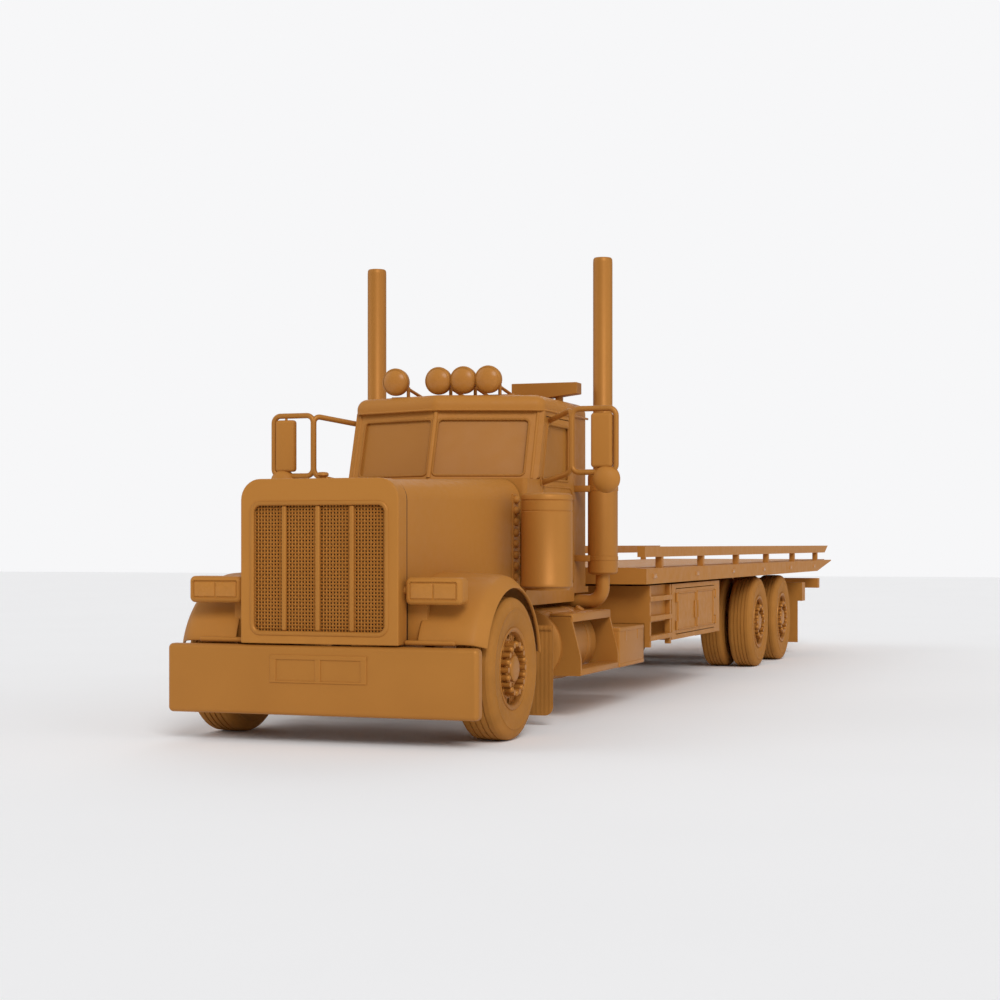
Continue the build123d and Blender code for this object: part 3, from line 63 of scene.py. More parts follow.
# %% Camera
camera = bpy.data.cameras.new("view_camera")
camera.sensor_width = 36.0
camera.lens = 65.04
camera.shift_x = -0.0529
camera.shift_y = 0.0437
camera.clip_end = 200.0
camera_object = bpy.data.objects.new("view_camera", camera)
camera_object.location = (AXLE_X + 12.328, 5.638, 1.426)
camera_object.rotation_euler = (math.radians(90), 0, math.radians(108.592))
bpy.context.scene.collection.objects.link(camera_object)
bpy.context.scene.camera = camera_object
bpy.context.scene.view_settings.view_transform = "Standard"
print("camera", round(camera.lens, 1), "mm")

# %% Lamps and world


def soft_sun(name, place, spread, strength):
    """A wide sun lamp that shines from a place towards the truck's middle."""
    lamp = bpy.data.lights.new(name, "SUN")
    lamp.angle = math.radians(spread)
    lamp.energy = strength
    lamp_object = bpy.data.objects.new(name, lamp)
    lamp_object.location = place
    lamp_object.rotation_euler = (-Vector(place)).to_track_quat("-Z", "Y").to_euler()
    bpy.context.scene.collection.objects.link(lamp_object)


soft_sun("key_sun", (13.0, 8.0, 11.0), 26, 1.50)
soft_sun("left_sun", (1.0, 16.0, 6.0), 50, 0.40)
soft_sun("right_sun", (4.0, -16.0, 8.0), 50, 0.45)
soft_sun("back_sun", (-14.0, -4.0, 10.0), 40, 0.45)

world = bpy.data.worlds.new("studio")
world.use_nodes = True
bpy.context.scene.world = world
world_nodes = world.node_tree.nodes
world_links = world.node_tree.links
backdrop = world_nodes["Background"]
backdrop.inputs["Color"].default_value = (0.93, 0.93, 0.94, 1)
backdrop.inputs["Strength"].default_value = 0.46
white = world_nodes.new("ShaderNodeBackground")
white.inputs["Color"].default_value = (0.93, 0.93, 0.94, 1)
rays = world_nodes.new("ShaderNodeLightPath")
mix = world_nodes.new("ShaderNodeMixShader")
world_links.new(rays.outputs["Is Camera Ray"], mix.inputs["Fac"])
world_links.new(backdrop.outputs["Background"], mix.inputs[1])
world_links.new(white.outputs["Background"], mix.inputs[2])
world_links.new(mix.outputs["Shader"], world_nodes["World Output"].inputs["Surface"])
print("lamps:", len(bpy.data.lights))

# %% [markdown]
# ## Finishes
# The whole truck wears one warm ochre, so what tells its parts apart is the way each surface takes light:
# satin paint, brushed bright metal, dull rubber, tinted glass. Every finish below reads Object
# coordinates, which stay put on the piece in any view, and changes colour, roughness and relief with
# noise at the scale of the real thing: broad fading, road dust low down, fine orange peel in the paint.
# On the frame the fading and the low tone go to a shade tone instead, which is painted shade.

# %% Finish helpers


def linear(red, green, blue):
    """A colour written as on screen, in the linear values that shaders take."""
    values = [c / 12.92 if c <= 0.04045 else ((c + 0.055) / 1.055) ** 2.4 for c in (red, green, blue)]
    return (*values, 1.0)


class Finish:
    """A material under construction, with short calls for the nodes that this file uses again and again."""

    def __init__(self, name, roughness, metallic=0.0):
        self.material = bpy.data.materials.new(name)
        self.material.use_nodes = True
        self.nodes = self.material.node_tree.nodes
        self.links = self.material.node_tree.links
        self.shader = self.nodes["Principled BSDF"]
        self.shader.inputs["Roughness"].default_value = roughness
        self.shader.inputs["Metallic"].default_value = metallic
        self.place = self.nodes.new("ShaderNodeTexCoord").outputs["Object"]

    def noise(self, scale, detail=3.0, stretch=None):
        place = self.place
        if stretch:
            mapping = self.nodes.new("ShaderNodeMapping")
            mapping.inputs["Scale"].default_value = stretch
            self.links.new(place, mapping.inputs["Vector"])
            place = mapping.outputs["Vector"]
        noise = self.nodes.new("ShaderNodeTexNoise")
        noise.inputs["Scale"].default_value = scale
        noise.inputs["Detail"].default_value = detail
        self.links.new(place, noise.inputs["Vector"])
        return noise.outputs["Fac"]

    def ramp(self, value, low, high, to_low=0.0, to_high=1.0):
        spread = self.nodes.new("ShaderNodeMapRange")
        for socket, number in (
            ("From Min", low), ("From Max", high), ("To Min", to_low), ("To Max", to_high)
        ):
            spread.inputs[socket].default_value = number
        self.links.new(value, spread.inputs["Value"])
        return spread.outputs["Result"]

    def math(self, operation, first, second):
        node = self.nodes.new("ShaderNodeMath")
        node.operation = operation
        for index, value in enumerate((first, second)):
            if isinstance(value, (int, float)):
                node.inputs[index].default_value = value
            else:
                self.links.new(value, node.inputs[index])
        return node.outputs["Value"]

    def axis(self, letter):
        split = self.nodes.new("ShaderNodeSeparateXYZ")
        self.links.new(self.place, split.inputs["Vector"])
        return split.outputs[letter]

    def blend(self, factor, first, second):
        node = self.nodes.new("ShaderNodeMix")
        node.data_type = "RGBA"
        self.links.new(factor, node.inputs["Factor"])
        for socket, colour in ((node.inputs[6], first), (node.inputs[7], second)):
            if isinstance(colour, tuple):
                socket.default_value = colour
            else:
                self.links.new(colour, socket)
        return node.outputs[2]

    def colour(self, value):
        self.links.new(value, self.shader.inputs["Base Color"])

    def rough(self, value):
        self.links.new(value, self.shader.inputs["Roughness"])

    def mottle(self, noise, first, second, low=0.3, high=0.7):
        """Colour that drifts between two tones with the noise."""
        self.colour(self.blend(self.ramp(noise, low, high), first, second))

    def gloss(self, level):
        """How strongly the surface mirrors light under its colour."""
        self.shader.inputs["Specular IOR Level"].default_value = level

    def ridges(self, letter, frequency, shift=0.0):
        """A sine wave along one axis."""
        angle = self.math("ADD", self.math("MULTIPLY", self.axis(letter), frequency), shift)
        return self.math("SINE", angle, 0.0)

    def relief(self, height, distance):
        bump = self.nodes.new("ShaderNodeBump")
        bump.inputs["Strength"].default_value = 1.0
        bump.inputs["Distance"].default_value = distance
        self.links.new(height, bump.inputs["Height"])
        self.links.new(bump.outputs["Normal"], self.shader.inputs["Normal"])


DUST_AND_SHADE_STRENGTH = 0.75


def painted(name, fresh, fade_and_shade_tone, dust_and_shade_tone, roughness, peel=0.00015):
    """Ochre paint: broad fading, road grime that gathers low down, and a fine orange peel. With the shade
    tone, as on the frame, the fading and the low tone are painted shade.
    """
    finish = Finish(name, roughness)
    broad = finish.ramp(finish.noise(0.9, 4.0), 0.35, 0.68)
    base = finish.blend(broad, fresh, fade_and_shade_tone)
    low_down = finish.ramp(finish.axis("Z"), 1.25, 0.15)
    patchy = finish.ramp(finish.noise(5.0, 6.0), 0.32, 0.7)
    dust_and_shade_mask = finish.math("MULTIPLY", finish.math("MULTIPLY", low_down, patchy), DUST_AND_SHADE_STRENGTH)
    finish.colour(finish.blend(dust_and_shade_mask, base, dust_and_shade_tone))
    finish.rough(finish.ramp(finish.noise(14.0, 5.0), 0.3, 0.7, roughness - 0.06, roughness + 0.1))
    finish.relief(finish.noise(160.0, 2.0), peel)
    finish.gloss(0.12)
    return finish.material


print("finish helpers ready")

# %% Paints
OCHRE = linear(0.690, 0.460, 0.200)
OCHRE_FADED = linear(0.704, 0.472, 0.208)
OCHRE_DEEP = linear(0.610, 0.400, 0.172)
DUST = linear(0.625, 0.416, 0.186)
SHADE = linear(0.470, 0.305, 0.135)

body_paint = painted("body_paint", OCHRE, OCHRE_FADED, DUST, 0.46)
bed_paint = painted("bed_paint", OCHRE, OCHRE_FADED, DUST, 0.46, 0.0002)
# The frame's paint is painted shade: it drifts from a deep ochre to the shade tone, and takes the shade
# tone again low down.
frame_paint = painted("frame_paint", OCHRE_DEEP, SHADE, SHADE, 0.62, 0.0003)
print("paints:", body_paint.name, bed_paint.name, frame_paint.name)

# %% Bright metal, mesh and lamps


def brushed(name, tone, deep, roughness, metallic, stretch):
    """Bright metal tinted ochre, with fine brush lines along one axis."""
    finish = Finish(name, roughness, metallic)
    lines = finish.noise(420.0, 2.0, stretch)
    finish.mottle(finish.noise(1.6, 4.0), tone, deep)
    finish.rough(finish.ramp(lines, 0.3, 0.7, roughness - 0.05, roughness + 0.06))
    finish.relief(lines, 0.00004)
    finish.gloss(0.2)
    return finish.material


BRIGHT = linear(0.700, 0.468, 0.202)
BRIGHT_DEEP = linear(0.674, 0.447, 0.190)
bright_metal = brushed("bright_metal", BRIGHT, BRIGHT_DEEP, 0.46, 0.26, (1.0, 1.0, 0.06))
wheel_metal = brushed("wheel_metal", BRIGHT, BRIGHT_DEEP, 0.42, 0.35, (1.0, 0.2, 1.0))
mesh_metal = brushed("mesh_metal", BRIGHT, BRIGHT_DEEP, 0.45, 0.25, (0.1, 1.0, 1.0))

lens = Finish("lamp_lens", 0.30, 0.0)
lens.mottle(lens.noise(30.0, 2.0), linear(0.710, 0.474, 0.208), linear(0.690, 0.459, 0.198))
lens.rough(lens.ramp(lens.noise(12.0, 4.0), 0.3, 0.7, 0.24, 0.34))
lens.gloss(0.22)
lamp_lens = lens.material
print("metals:", bright_metal.name, mesh_metal.name, lamp_lens.name)

# %% Rubber, glass and the cab's inside
rubber = Finish("tyre_rubber", 0.74)
rubber.mottle(rubber.noise(7.0, 6.0), linear(0.630, 0.420, 0.178), linear(0.665, 0.444, 0.192), 0.32)
rubber.rough(rubber.ramp(rubber.noise(22.0, 4.0), 0.3, 0.7, 0.66, 0.84))
rubber.relief(rubber.noise(240.0, 3.0), 0.0004)
rubber.gloss(0.15)
tyre_rubber = rubber.material

flap = Finish("flap_rubber", 0.7)
flap.mottle(flap.noise(4.0, 5.0), linear(0.620, 0.412, 0.178), linear(0.670, 0.447, 0.196))
flap.relief(flap.ridges("Y", 180.0), 0.0008)
flap.gloss(0.15)
flap_rubber = flap.material

pane = Finish("tinted_glass", 0.22)
pane.mottle(pane.noise(1.3, 3.0), linear(0.668, 0.444, 0.190), linear(0.684, 0.456, 0.198))
pane.rough(pane.ramp(pane.noise(9.0, 5.0), 0.35, 0.75, 0.36, 0.46))
pane.gloss(0.14)
pane.shader.inputs["Alpha"].default_value = 0.93
tinted_glass = pane.material

cloth = Finish("seat_cloth", 0.9)
weave = cloth.math("MULTIPLY", cloth.ridges("Y", 900.0), cloth.ridges("Z", 900.0))
cloth.mottle(cloth.noise(12.0, 5.0), linear(0.50, 0.33, 0.17), linear(0.58, 0.39, 0.2))
cloth.relief(weave, 0.0008)
cloth.shader.inputs["Sheen Weight"].default_value = 0.3
seat_cloth = cloth.material

moulded = Finish("dash_plastic", 0.6)
moulded.mottle(moulded.noise(3.0), linear(0.50, 0.33, 0.17), linear(0.56, 0.375, 0.19))
moulded.relief(moulded.noise(420.0, 2.0), 0.0006)
dash_plastic = moulded.material
print("soft finishes:", tyre_rubber.name, flap_rubber.name, tinted_glass.name, seat_cloth.name)

# %% [markdown]
# ## Finishes on the solids
# The record names one material slot for each solid. Going through that list gives every solid its finish,
# and the few that a finer piece replaces further down are hidden then.

# %% Dress the solids
SLOTS = {
    "body_paint": body_paint, "bed_paint": bed_paint, "bright_metal": bright_metal,
    "mesh_metal": mesh_metal, "frame_paint": frame_paint, "tyre": tyre_rubber, "flap_rubber": flap_rubber,
    "glass": tinted_glass, "seat_cover": seat_cloth, "dash_plastic": dash_plastic,
}
for part in frame["record"]["subparts"]:
    mesh = frame["nodes"][part["node"]].data
    mesh.materials.clear()
    mesh.materials.append(wheel_metal if "wheel" in part["node"] else SLOTS[part["material_slot"]])

# %% [markdown]
# ## Making pieces
# Most pieces of a truck are one of four things: a box with softened edges, a body turned on a lathe, a
# bent tube or a bar. The helpers below make each with Blender's own mesh operators, so that what follows
# reads like a parts list. Each piece ends in `place`, which turns it into an object, names its finish and
# lets it ride on the body that carries it.

# %% Piece helpers


def behind(distance):
    """X of a place this many metres behind the front axle."""
    return AXLE_X - distance


def place(bm, name, finish, body, slot, *nodes, soften=0.0, sharp=35):
    """Close a bmesh into an object that rides on a body, and stands for the solids that it is named for."""
    bmesh.ops.remove_doubles(bm, verts=bm.verts, dist=0.00005)
    bmesh.ops.recalc_face_normals(bm, faces=bm.faces)
    mesh = bpy.data.meshes.new(name)
    bm.to_mesh(mesh)
    bm.free()
    mesh.shade_smooth()
    mesh.set_sharp_from_angle(angle=math.radians(sharp))
    return adopt(bpy.data.objects.new(name, mesh), finish, body, slot, *nodes, soften=soften)


def adopt(piece, finish, body, slot, *nodes, soften=0.0):
    """Link an object, give it its finish and body, and soften its edges. The slot is not used."""
    bpy.context.scene.collection.objects.link(piece)
    piece.data.materials.append(finish)
    if soften:
        edge = piece.modifiers.new("softened_edges", "BEVEL")
        edge.width = soften
        edge.segments = 2
        edge.limit_method = "ANGLE"
        edge.angle_limit = math.radians(40)
        edge.harden_normals = True
    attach(piece, body)
    if nodes:
        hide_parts(*nodes)
    return piece


def box(bm, x, y, z, round_off=0.0, segments=3):
    """A box between low and high values, its edges rounded where asked."""
    size = Matrix.Diagonal((abs(x[1] - x[0]), abs(y[1] - y[0]), abs(z[1] - z[0]), 1.0))
    middle = Matrix.Translation(((x[0] + x[1]) / 2, (y[0] + y[1]) / 2, (z[0] + z[1]) / 2))
    corners = bmesh.ops.create_cube(bm, size=1.0, matrix=middle @ size)["verts"]
    if round_off:
        edges = list({edge for corner in corners for edge in corner.link_edges})
        bmesh.ops.bevel(
            bm, geom=edges, offset=round_off, segments=segments, affect="EDGES", profile=0.5, material=-1,
            clamp_overlap=True,
        )
    return corners


def bar(bm, start, end, radius, sides=20):
    """A round bar between two points."""
    start, end = Vector(start), Vector(end)
    turn = (end - start).to_track_quat("Z", "Y").to_matrix().to_4x4()
    bmesh.ops.create_cone(
        bm, cap_ends=True, segments=sides, radius1=radius, radius2=radius,
        depth=(end - start).length, matrix=Matrix.Translation((start + end) / 2) @ turn,
    )


def lathe(bm, foot, direction, profile, steps=48):
    """Turn a profile of (radius, height) points about an axis that starts at foot."""
    foot, direction = Vector(foot), Vector(direction).normalized()
    outward = direction.orthogonal().normalized()
    chain = [bm.verts.new(foot + outward * radius + direction * height) for radius, height in profile]
    edges = [bm.edges.new(pair) for pair in zip(chain, chain[1:])]
    bmesh.ops.spin(
        bm, geom=chain + edges, cent=foot, axis=direction, angle=math.tau, steps=steps, use_merge=True,
        use_duplicate=False
    )


def tube(name, points, radius, corner, closed=False):
    """A bent tube as a curve: straight runs between the points, with round bends of the corner radius."""
    curve = bpy.data.curves.new(name, "CURVE")
    curve.dimensions = "3D"
    curve.bevel_depth = radius
    curve.bevel_resolution = 4
    curve.resolution_u = 8
    curve.use_fill_caps = not closed
    spline = curve.splines.new("BEZIER")
    spline.use_cyclic_u = closed
    points = [Vector(point) for point in points]
    stops = []
    for index, point in enumerate(points):
        if not closed and index in (0, len(points) - 1):
            stops.append((point, point, point))
            continue
        for other, first in ((points[index - 1], True), (points[(index + 1) % len(points)], False)):
            stop = point + (other - point).normalized() * corner
            pull = stop + (point - stop) * 0.55
            stops.append((stop, stop, pull) if first else (stop, pull, stop))
    spline.bezier_points.add(len(stops) - 1)
    for knot, (stop, left, right) in zip(spline.bezier_points, stops):
        knot.handle_left_type = knot.handle_right_type = "FREE"
        knot.co, knot.handle_left, knot.handle_right = stop, left, right
    return bpy.data.objects.new(name, curve)


def both_sides(bm):
    """Mirror what is there to the truck's other side."""
    bmesh.ops.mirror(
        bm, geom=bm.verts[:] + bm.edges[:] + bm.faces[:], axis="Y", matrix=Matrix.Identity(4),
        merge_dist=-1.0,
    )


def span(sign, first, second):
    """Low and high Y on one side of the truck."""
    return sorted((sign * first, sign * second))


SIDES = (("left", 1), ("right", -1))
CAB_HALF_W = 0.845
print("piece helpers ready")

# %% [markdown]
# ## Tyres
# A truck tyre is a lathe job: bead, bulged sidewall with a raised ring, rounded shoulder, and a tread cut
# by grooves that run all the way round. Turning the section gives all of it at once.

# %% Tyres
TYRE_R = 0.520
FRONT_TYRE_Y, FRONT_TYRE_W = 1.060, 0.300
TWIN_TYRE_YS, TWIN_TYRE_W = (1.077, 0.747), 0.280
GROOVE_DEPTH = 0.009


def tyre(bm, x, y, width):
    """One tyre turned about its axle."""
    half = width / 2
    wall = [
        (0.286, half - 0.040), (0.292, half - 0.030), (0.306, half - 0.019), (0.330, half - 0.009),
        (0.365, half - 0.002), (0.400, half), (0.428, half - 0.001), (0.431, half + 0.001),
        (0.440, half + 0.001), (0.443, half - 0.003), (0.470, half - 0.008), (0.490, half - 0.014),
        (0.502, half - 0.021), (0.510, half - 0.030), (0.514, half - 0.042),
    ]
    tread = half - 0.044
    cuts = [tread * share for share in (0.62, 0.2)]
    top = [(0.516, tread)]
    for cut in cuts:
        rise = TYRE_R - 0.004 * (cut / tread) ** 2
        floor = rise - GROOVE_DEPTH
        top += [(rise, cut + 0.006), (floor, cut + 0.004), (floor, cut - 0.004), (rise, cut - 0.006)]
    outer = wall + top
    inner = [(radius, -offset) for radius, offset in reversed(outer)]
    profile = outer + inner + [outer[0]]
    lathe(bm, (x, y, TYRE_R), (0, 1, 0), profile, steps=88)


REAR_AXLES = (("forward", 8.390), ("rearward", 9.740))
for side, sign in SIDES:
    bm = bmesh.new()
    tyre(bm, behind(0), sign * FRONT_TYRE_Y, FRONT_TYRE_W)
    place(
        bm, f"tyre_front_{side}", tyre_rubber, f"front_wheel_{side}", "tyre", f"front_tyre_{side}", sharp=40
    )
    for axle, setback in REAR_AXLES:
        bm = bmesh.new()
        for y in TWIN_TYRE_YS:
            tyre(bm, behind(setback), sign * y, TWIN_TYRE_W)
        place(
            bm, f"tyres_{axle}_{side}", tyre_rubber, f"{axle}_wheels_{side}", "tyre",
            f"{axle}_twin_tyres_{side}", sharp=40
        )
print("six tyre pieces, twins together")

# %% [markdown]
# ## Wheel trim
# The solids already have the pressed disc with its hand holes. What is missing is what catches the light:
# tall domed covers on the nuts, a rolled rim edge, a stepped hub with a cap, and a raised ring round each
# hand hole. All of these are small lathe jobs on the wheel's face, so each wheel gets one trim piece.

# %% Wheel trim
NUT_COVER = [
    (0.0, 0.082), (0.010, 0.080), (0.018, 0.074), (0.0225, 0.064), (0.0225, 0.050), (0.021, 0.042),
    (0.021, 0.014), (0.027, 0.007), (0.027, -0.002),
]
HUB_CAP = [
    (0.0, 0.064), (0.050, 0.063), (0.080, 0.060), (0.092, 0.054), (0.096, 0.046), (0.096, 0.034),
    (0.128, 0.030), (0.132, 0.024), (0.132, -0.002),
]
RIM_EDGE = [
    (0.262, -0.004), (0.266, 0.018), (0.276, 0.034), (0.290, 0.040), (0.299, 0.036), (0.302, 0.026),
    (0.296, 0.018), (0.284, 0.016), (0.276, 0.004), (0.270, -0.006), (0.262, -0.004),
]
HOLE_RING = [(0.026, -0.001), (0.027, 0.004), (0.030, 0.005), (0.032, 0.002), (0.033, -0.001)]
NUTS, NUT_CIRCLE, HOLE_CIRCLE = 10, 0.178, 0.238
HUB_BOLTS, BOLT_CIRCLE = 8, 0.113
FRONT_FACE_Y, TWIN_FACE_Y = 1.148, 1.155


def wheel_trim(bm, x, face, sign, rim_out):
    """Cap, rim edge, nut covers, hole rings and bolts on the face of one wheel."""
    hub = Vector((x, face, TYRE_R))
    outward = (0, sign, 0)
    lathe(bm, hub, outward, HUB_CAP, 40)
    lathe(bm, hub + Vector((0, sign * rim_out, 0)), outward, RIM_EDGE, 64)
    for index in range(NUTS):
        for circle, shift, profile, steps in (
            (NUT_CIRCLE, 0.5, NUT_COVER, 16), (HOLE_CIRCLE, 0, HOLE_RING, 18)
        ):
            angle = math.tau * (index + shift) / NUTS
            spot = hub + Vector((circle * math.cos(angle), 0, circle * math.sin(angle)))
            lathe(bm, spot, outward, profile, steps)
    for index in range(HUB_BOLTS):
        angle = math.tau * index / HUB_BOLTS
        spot = hub + Vector((BOLT_CIRCLE * math.cos(angle), sign * 0.026, BOLT_CIRCLE * math.sin(angle)))
        bar(bm, spot, spot + Vector((0, sign * 0.012, 0)), 0.008, 6)


for side, sign in SIDES:
    bm = bmesh.new()
    wheel_trim(bm, behind(0), sign * FRONT_FACE_Y, sign, 0.008)
    place(bm, f"wheel_trim_front_{side}", wheel_metal, f"front_wheel_{side}", "bright_metal")
    for axle, setback in REAR_AXLES:
        bm = bmesh.new()
        wheel_trim(bm, behind(setback), sign * TWIN_FACE_Y, sign, 0.016)
        place(bm, f"wheel_trim_{axle}_{side}", wheel_metal, f"{axle}_wheels_{side}", "bright_metal")
print("wheel trim: 6 pieces of", len(NUT_COVER), "turned nut points")

# %% [markdown]
# ## Radiator shell and grille
# The nose is a flat shell with two rounded upper corners round a woven grille. The shell starts as two
# flat outlines, an outer and an inner one, which are bridged to a band and pulled back to just short of
# the hood, so that a groove shows between the two, with a thin dark tube in it as painted shade; a bevel
# then softens its edges. The weave is a grid whose crossings step in and out in turn, turned into wires
# by the wireframe operator, with a dark panel behind it as painted shade, three upright bars and a rolled
# bead before it.

# %% Radiator shell
GRILLE_FACE = behind(-0.765)
GRILLE_BACK = behind(-0.600)
SHELL_GROOVE = 0.009
GRILLE_HALF_W, GRILLE_LOW, GRILLE_TOP = 0.5135, 0.798, 1.705


def outline(bm, points, corners):
    """A flat face through the points, with each corner that has a radius rounded off."""
    verts = [bm.verts.new(point) for point in points]
    face = bm.faces.new(verts)
    for vert, radius in zip(verts, corners):
        if radius:
            bmesh.ops.bevel(
                bm, geom=[vert], offset=radius, segments=8, affect="VERTICES", profile=0.5, material=-1
            )
    return [face for face in bm.faces if face.is_valid]


def upright(x, half_w, low, top):
    """Four corners across the truck at one X."""
    return [(x, -half_w, low), (x, half_w, low), (x, half_w, top), (x, -half_w, top)]


bm = bmesh.new()
outline(bm, upright(GRILLE_FACE, 0.614, 0.715, 1.889), (0, 0, 0.15, 0.15))
outline(bm, upright(GRILLE_FACE, 0.513, 0.799, 1.704), (0.045, 0.045, 0.045, 0.045))
bmesh.ops.delete(bm, geom=bm.faces[:], context="FACES_ONLY")
bmesh.ops.bridge_loops(bm, edges=bm.edges[:])
ties = [edge for edge in bm.edges if len(edge.link_faces) == 2]
ties.sort(key=lambda edge: edge.verts[0].co.z)
bmesh.ops.dissolve_edges(bm, edges=ties[1:-1])
pulled = bmesh.ops.extrude_face_region(bm, geom=bm.faces[:])["geom"]
bmesh.ops.translate(
    bm, verts=[item for item in pulled if isinstance(item, bmesh.types.BMVert)],
    vec=(GRILLE_BACK + SHELL_GROOVE - GRILLE_FACE, 0, 0),
)
place(bm, "radiator_shell", body_paint, "hood", "bright_metal", "grille_surround", soften=0.024)

# %% Grille
# Painted shade: a near-black brown for the panel behind the weave and for the line in the shell's groove.
shade_paint = Finish("grille_painted_shade", 0.8)
shade_paint.colour(shade_paint.blend(shade_paint.noise(8.0), linear(0.22, 0.14, 0.07), linear(0.28, 0.18, 0.09)))

bm = bmesh.new()
COLUMNS, ROWS = 42, 37
GRILLE_H = GRILLE_TOP - GRILLE_LOW
middle = Matrix.Translation((GRILLE_FACE - 0.034, 0, (GRILLE_LOW + GRILLE_TOP) / 2))
upended = Matrix.Rotation(math.pi / 2, 4, "Y") @ Matrix.Diagonal((GRILLE_H / 2, GRILLE_HALF_W, 1, 1))
bmesh.ops.create_grid(bm, x_segments=ROWS, y_segments=COLUMNS, size=1.0, matrix=middle @ upended)
for vert in bm.verts:
    row = round((vert.co.z - GRILLE_LOW) / GRILLE_H * ROWS)
    column = round((vert.co.y / GRILLE_HALF_W + 1) / 2 * COLUMNS)
    vert.co.x += 0.004 if (row + column) % 2 else -0.004
bmesh.ops.wireframe(
    bm, faces=bm.faces[:], thickness=0.0150, use_replace=True, use_boundary=True, use_even_offset=True
)
place(bm, "grille_weave", mesh_metal, "hood", "mesh_metal", "grille_mesh")

bm = bmesh.new()
box(bm, (GRILLE_FACE - 0.062, GRILLE_FACE - 0.056), (-0.52, 0.52), (0.79, 1.71))
place(bm, "grille_shade_panel", shade_paint.material, "hood", "mesh_metal")

bm = bmesh.new()
for y in (-0.276, -0.012, 0.252):
    box(bm, (GRILLE_FACE - 0.040, GRILLE_FACE - 0.004), (y - 0.019, y + 0.019), (0.806, 1.697), 0.013, 4)
place(bm, "grille_bars", bright_metal, "hood", "bright_metal")
bead = tube("grille_bead", upright(GRILLE_FACE - 0.008, 0.524, 0.788, 1.715), 0.019, 0.066, closed=True)
adopt(bead, bright_metal, "hood", "bright_metal")
# A thin dark tube in the groove between shell and hood: painted shade.
groove_shade_x = GRILLE_BACK + SHELL_GROOVE / 2
groove_shade = tube("shell_groove_shade", [
    (groove_shade_x, -0.608, 0.740), (groove_shade_x, -0.608, 1.883), (groove_shade_x, 0.608, 1.883), (groove_shade_x, 0.608, 0.740)
], 0.005, 0.150)
adopt(groove_shade, shade_paint.material, "hood", "mesh_metal")
print("weave of", ROWS, "by", COLUMNS)

# %% Cap on the shell
bm = bmesh.new()
lathe(bm, (behind(-0.690), 0, 1.876), (0, 0, 1), [
    (0.0, 0.060), (0.030, 0.058), (0.040, 0.050), (0.042, 0.036), (0.036, 0.030), (0.026, 0.028),
    (0.022, 0.012), (0.034, 0.0)
], 32)
place(bm, "filler_cap", bright_metal, "hood", "bright_metal")
print("filler cap on top of the shell")

# %% [markdown]
# ## Fenders
# Each fender is a crowned shell that wraps round the wheel and runs up into the side of the hood in one
# sweep. Seen along the axle its outline is almost a circle, so the cross-section is spun about the axle
# through little less than half a turn. The inner edge is then leaned to follow the hood's tapering side,
# the corner beside the radiator is cut open, and Solidify gives the sheet its thickness.

# %% Fenders
FENDER_SECTION = [
    (0.656, 0.702), (0.672, 0.702), (0.700, 0.701), (0.750, 0.698), (0.820, 0.695), (0.920, 0.691),
    (1.030, 0.687), (1.090, 0.681), (1.118, 0.672), (1.132, 0.664), (1.166, 0.630), (1.196, 0.600),
    (1.203, 0.588), (1.192, 0.582), (1.172, 0.584),
]
ARCH_START, ARCH_END = 172, 17
LEAN_FROM, LEAN_WIDTH, LEAN_REST = 0.95, 0.29, 0.664
HOOD_FRONT_HALF_W, HOOD_FLARE, HOOD_BACK = 0.605, 0.195, behind(1.232)


def hood_side(x):
    """Half width of the hood at this X."""
    return HOOD_FRONT_HALF_W + HOOD_FLARE * (GRILLE_BACK - x) / (GRILLE_BACK - HOOD_BACK)


for side, sign in SIDES:
    bm = bmesh.new()
    start = math.radians(ARCH_START)
    chain = [
        bm.verts.new((behind(0) + radius * math.cos(start), y, TYRE_R + radius * math.sin(start)))
        for y, radius in FENDER_SECTION
    ]
    edges = [bm.edges.new(pair) for pair in zip(chain, chain[1:])]
    bmesh.ops.spin(
        bm, geom=chain + edges, cent=(behind(0), 0, TYRE_R), axis=(0, 1, 0), steps=44,
        angle=math.radians(ARCH_START - ARCH_END),
    )
    for vert in bm.verts:
        share = max(0.0, min(1.0, (LEAN_FROM - vert.co.y) / LEAN_WIDTH))
        vert.co.y += share * (hood_side(vert.co.x) - LEAN_REST)
    cut_open = []
    for face in bm.faces:
        spot = face.calc_center_median()
        beside_shell = spot.x > behind(-0.2) and spot.y < 0.705 and spot.z < 0.965
        low_rear = spot.x < behind(0.5) and spot.y < 0.70
        if beside_shell or low_rear:
            cut_open.append(face)
    bmesh.ops.delete(bm, geom=cut_open, context="FACES")
    if sign < 0:
        bmesh.ops.scale(bm, vec=(1, -1, 1), verts=bm.verts)
    fender = place(bm, f"fender_{side}", body_paint, "hood", "body_paint", "fenders", sharp=60)
    skin = fender.modifiers.new("sheet", "SOLIDIFY")
    skin.thickness = 0.010
    skin.offset = -1.0
    rounding = fender.modifiers.new("smooth", "SUBSURF")
    rounding.levels = rounding.render_levels = 1
print("fenders spun through", ARCH_START - ARCH_END, "degrees")

# %% [markdown]
# ## Headlight pods
# Each pod is a long box with generous round edges that stands out beside the radiator shell, with two
# square lamps side by side behind one thick bezel. A beveled box makes the pod; its front face is inset
# and pushed back for the recess, and two softer boxes sit in it as lenses.

# %% Headlights
LAMP_FRONT = behind(-0.718)
LAMP_BACK = behind(-0.555)


def pushed_front(bm, x, thickness, depth):
    """Inset the faces that lie in the plane at x and push them back."""
    front = [
        face for face in bm.faces
        if abs(face.calc_center_median().x - x) < 0.0005 and face.normal.x > 0.9
    ]
    bmesh.ops.inset_region(bm, faces=front, thickness=thickness, depth=0.0, use_even_offset=True)
    bmesh.ops.translate(bm, verts=list({v for face in front for v in face.verts}), vec=(-depth, 0, 0))


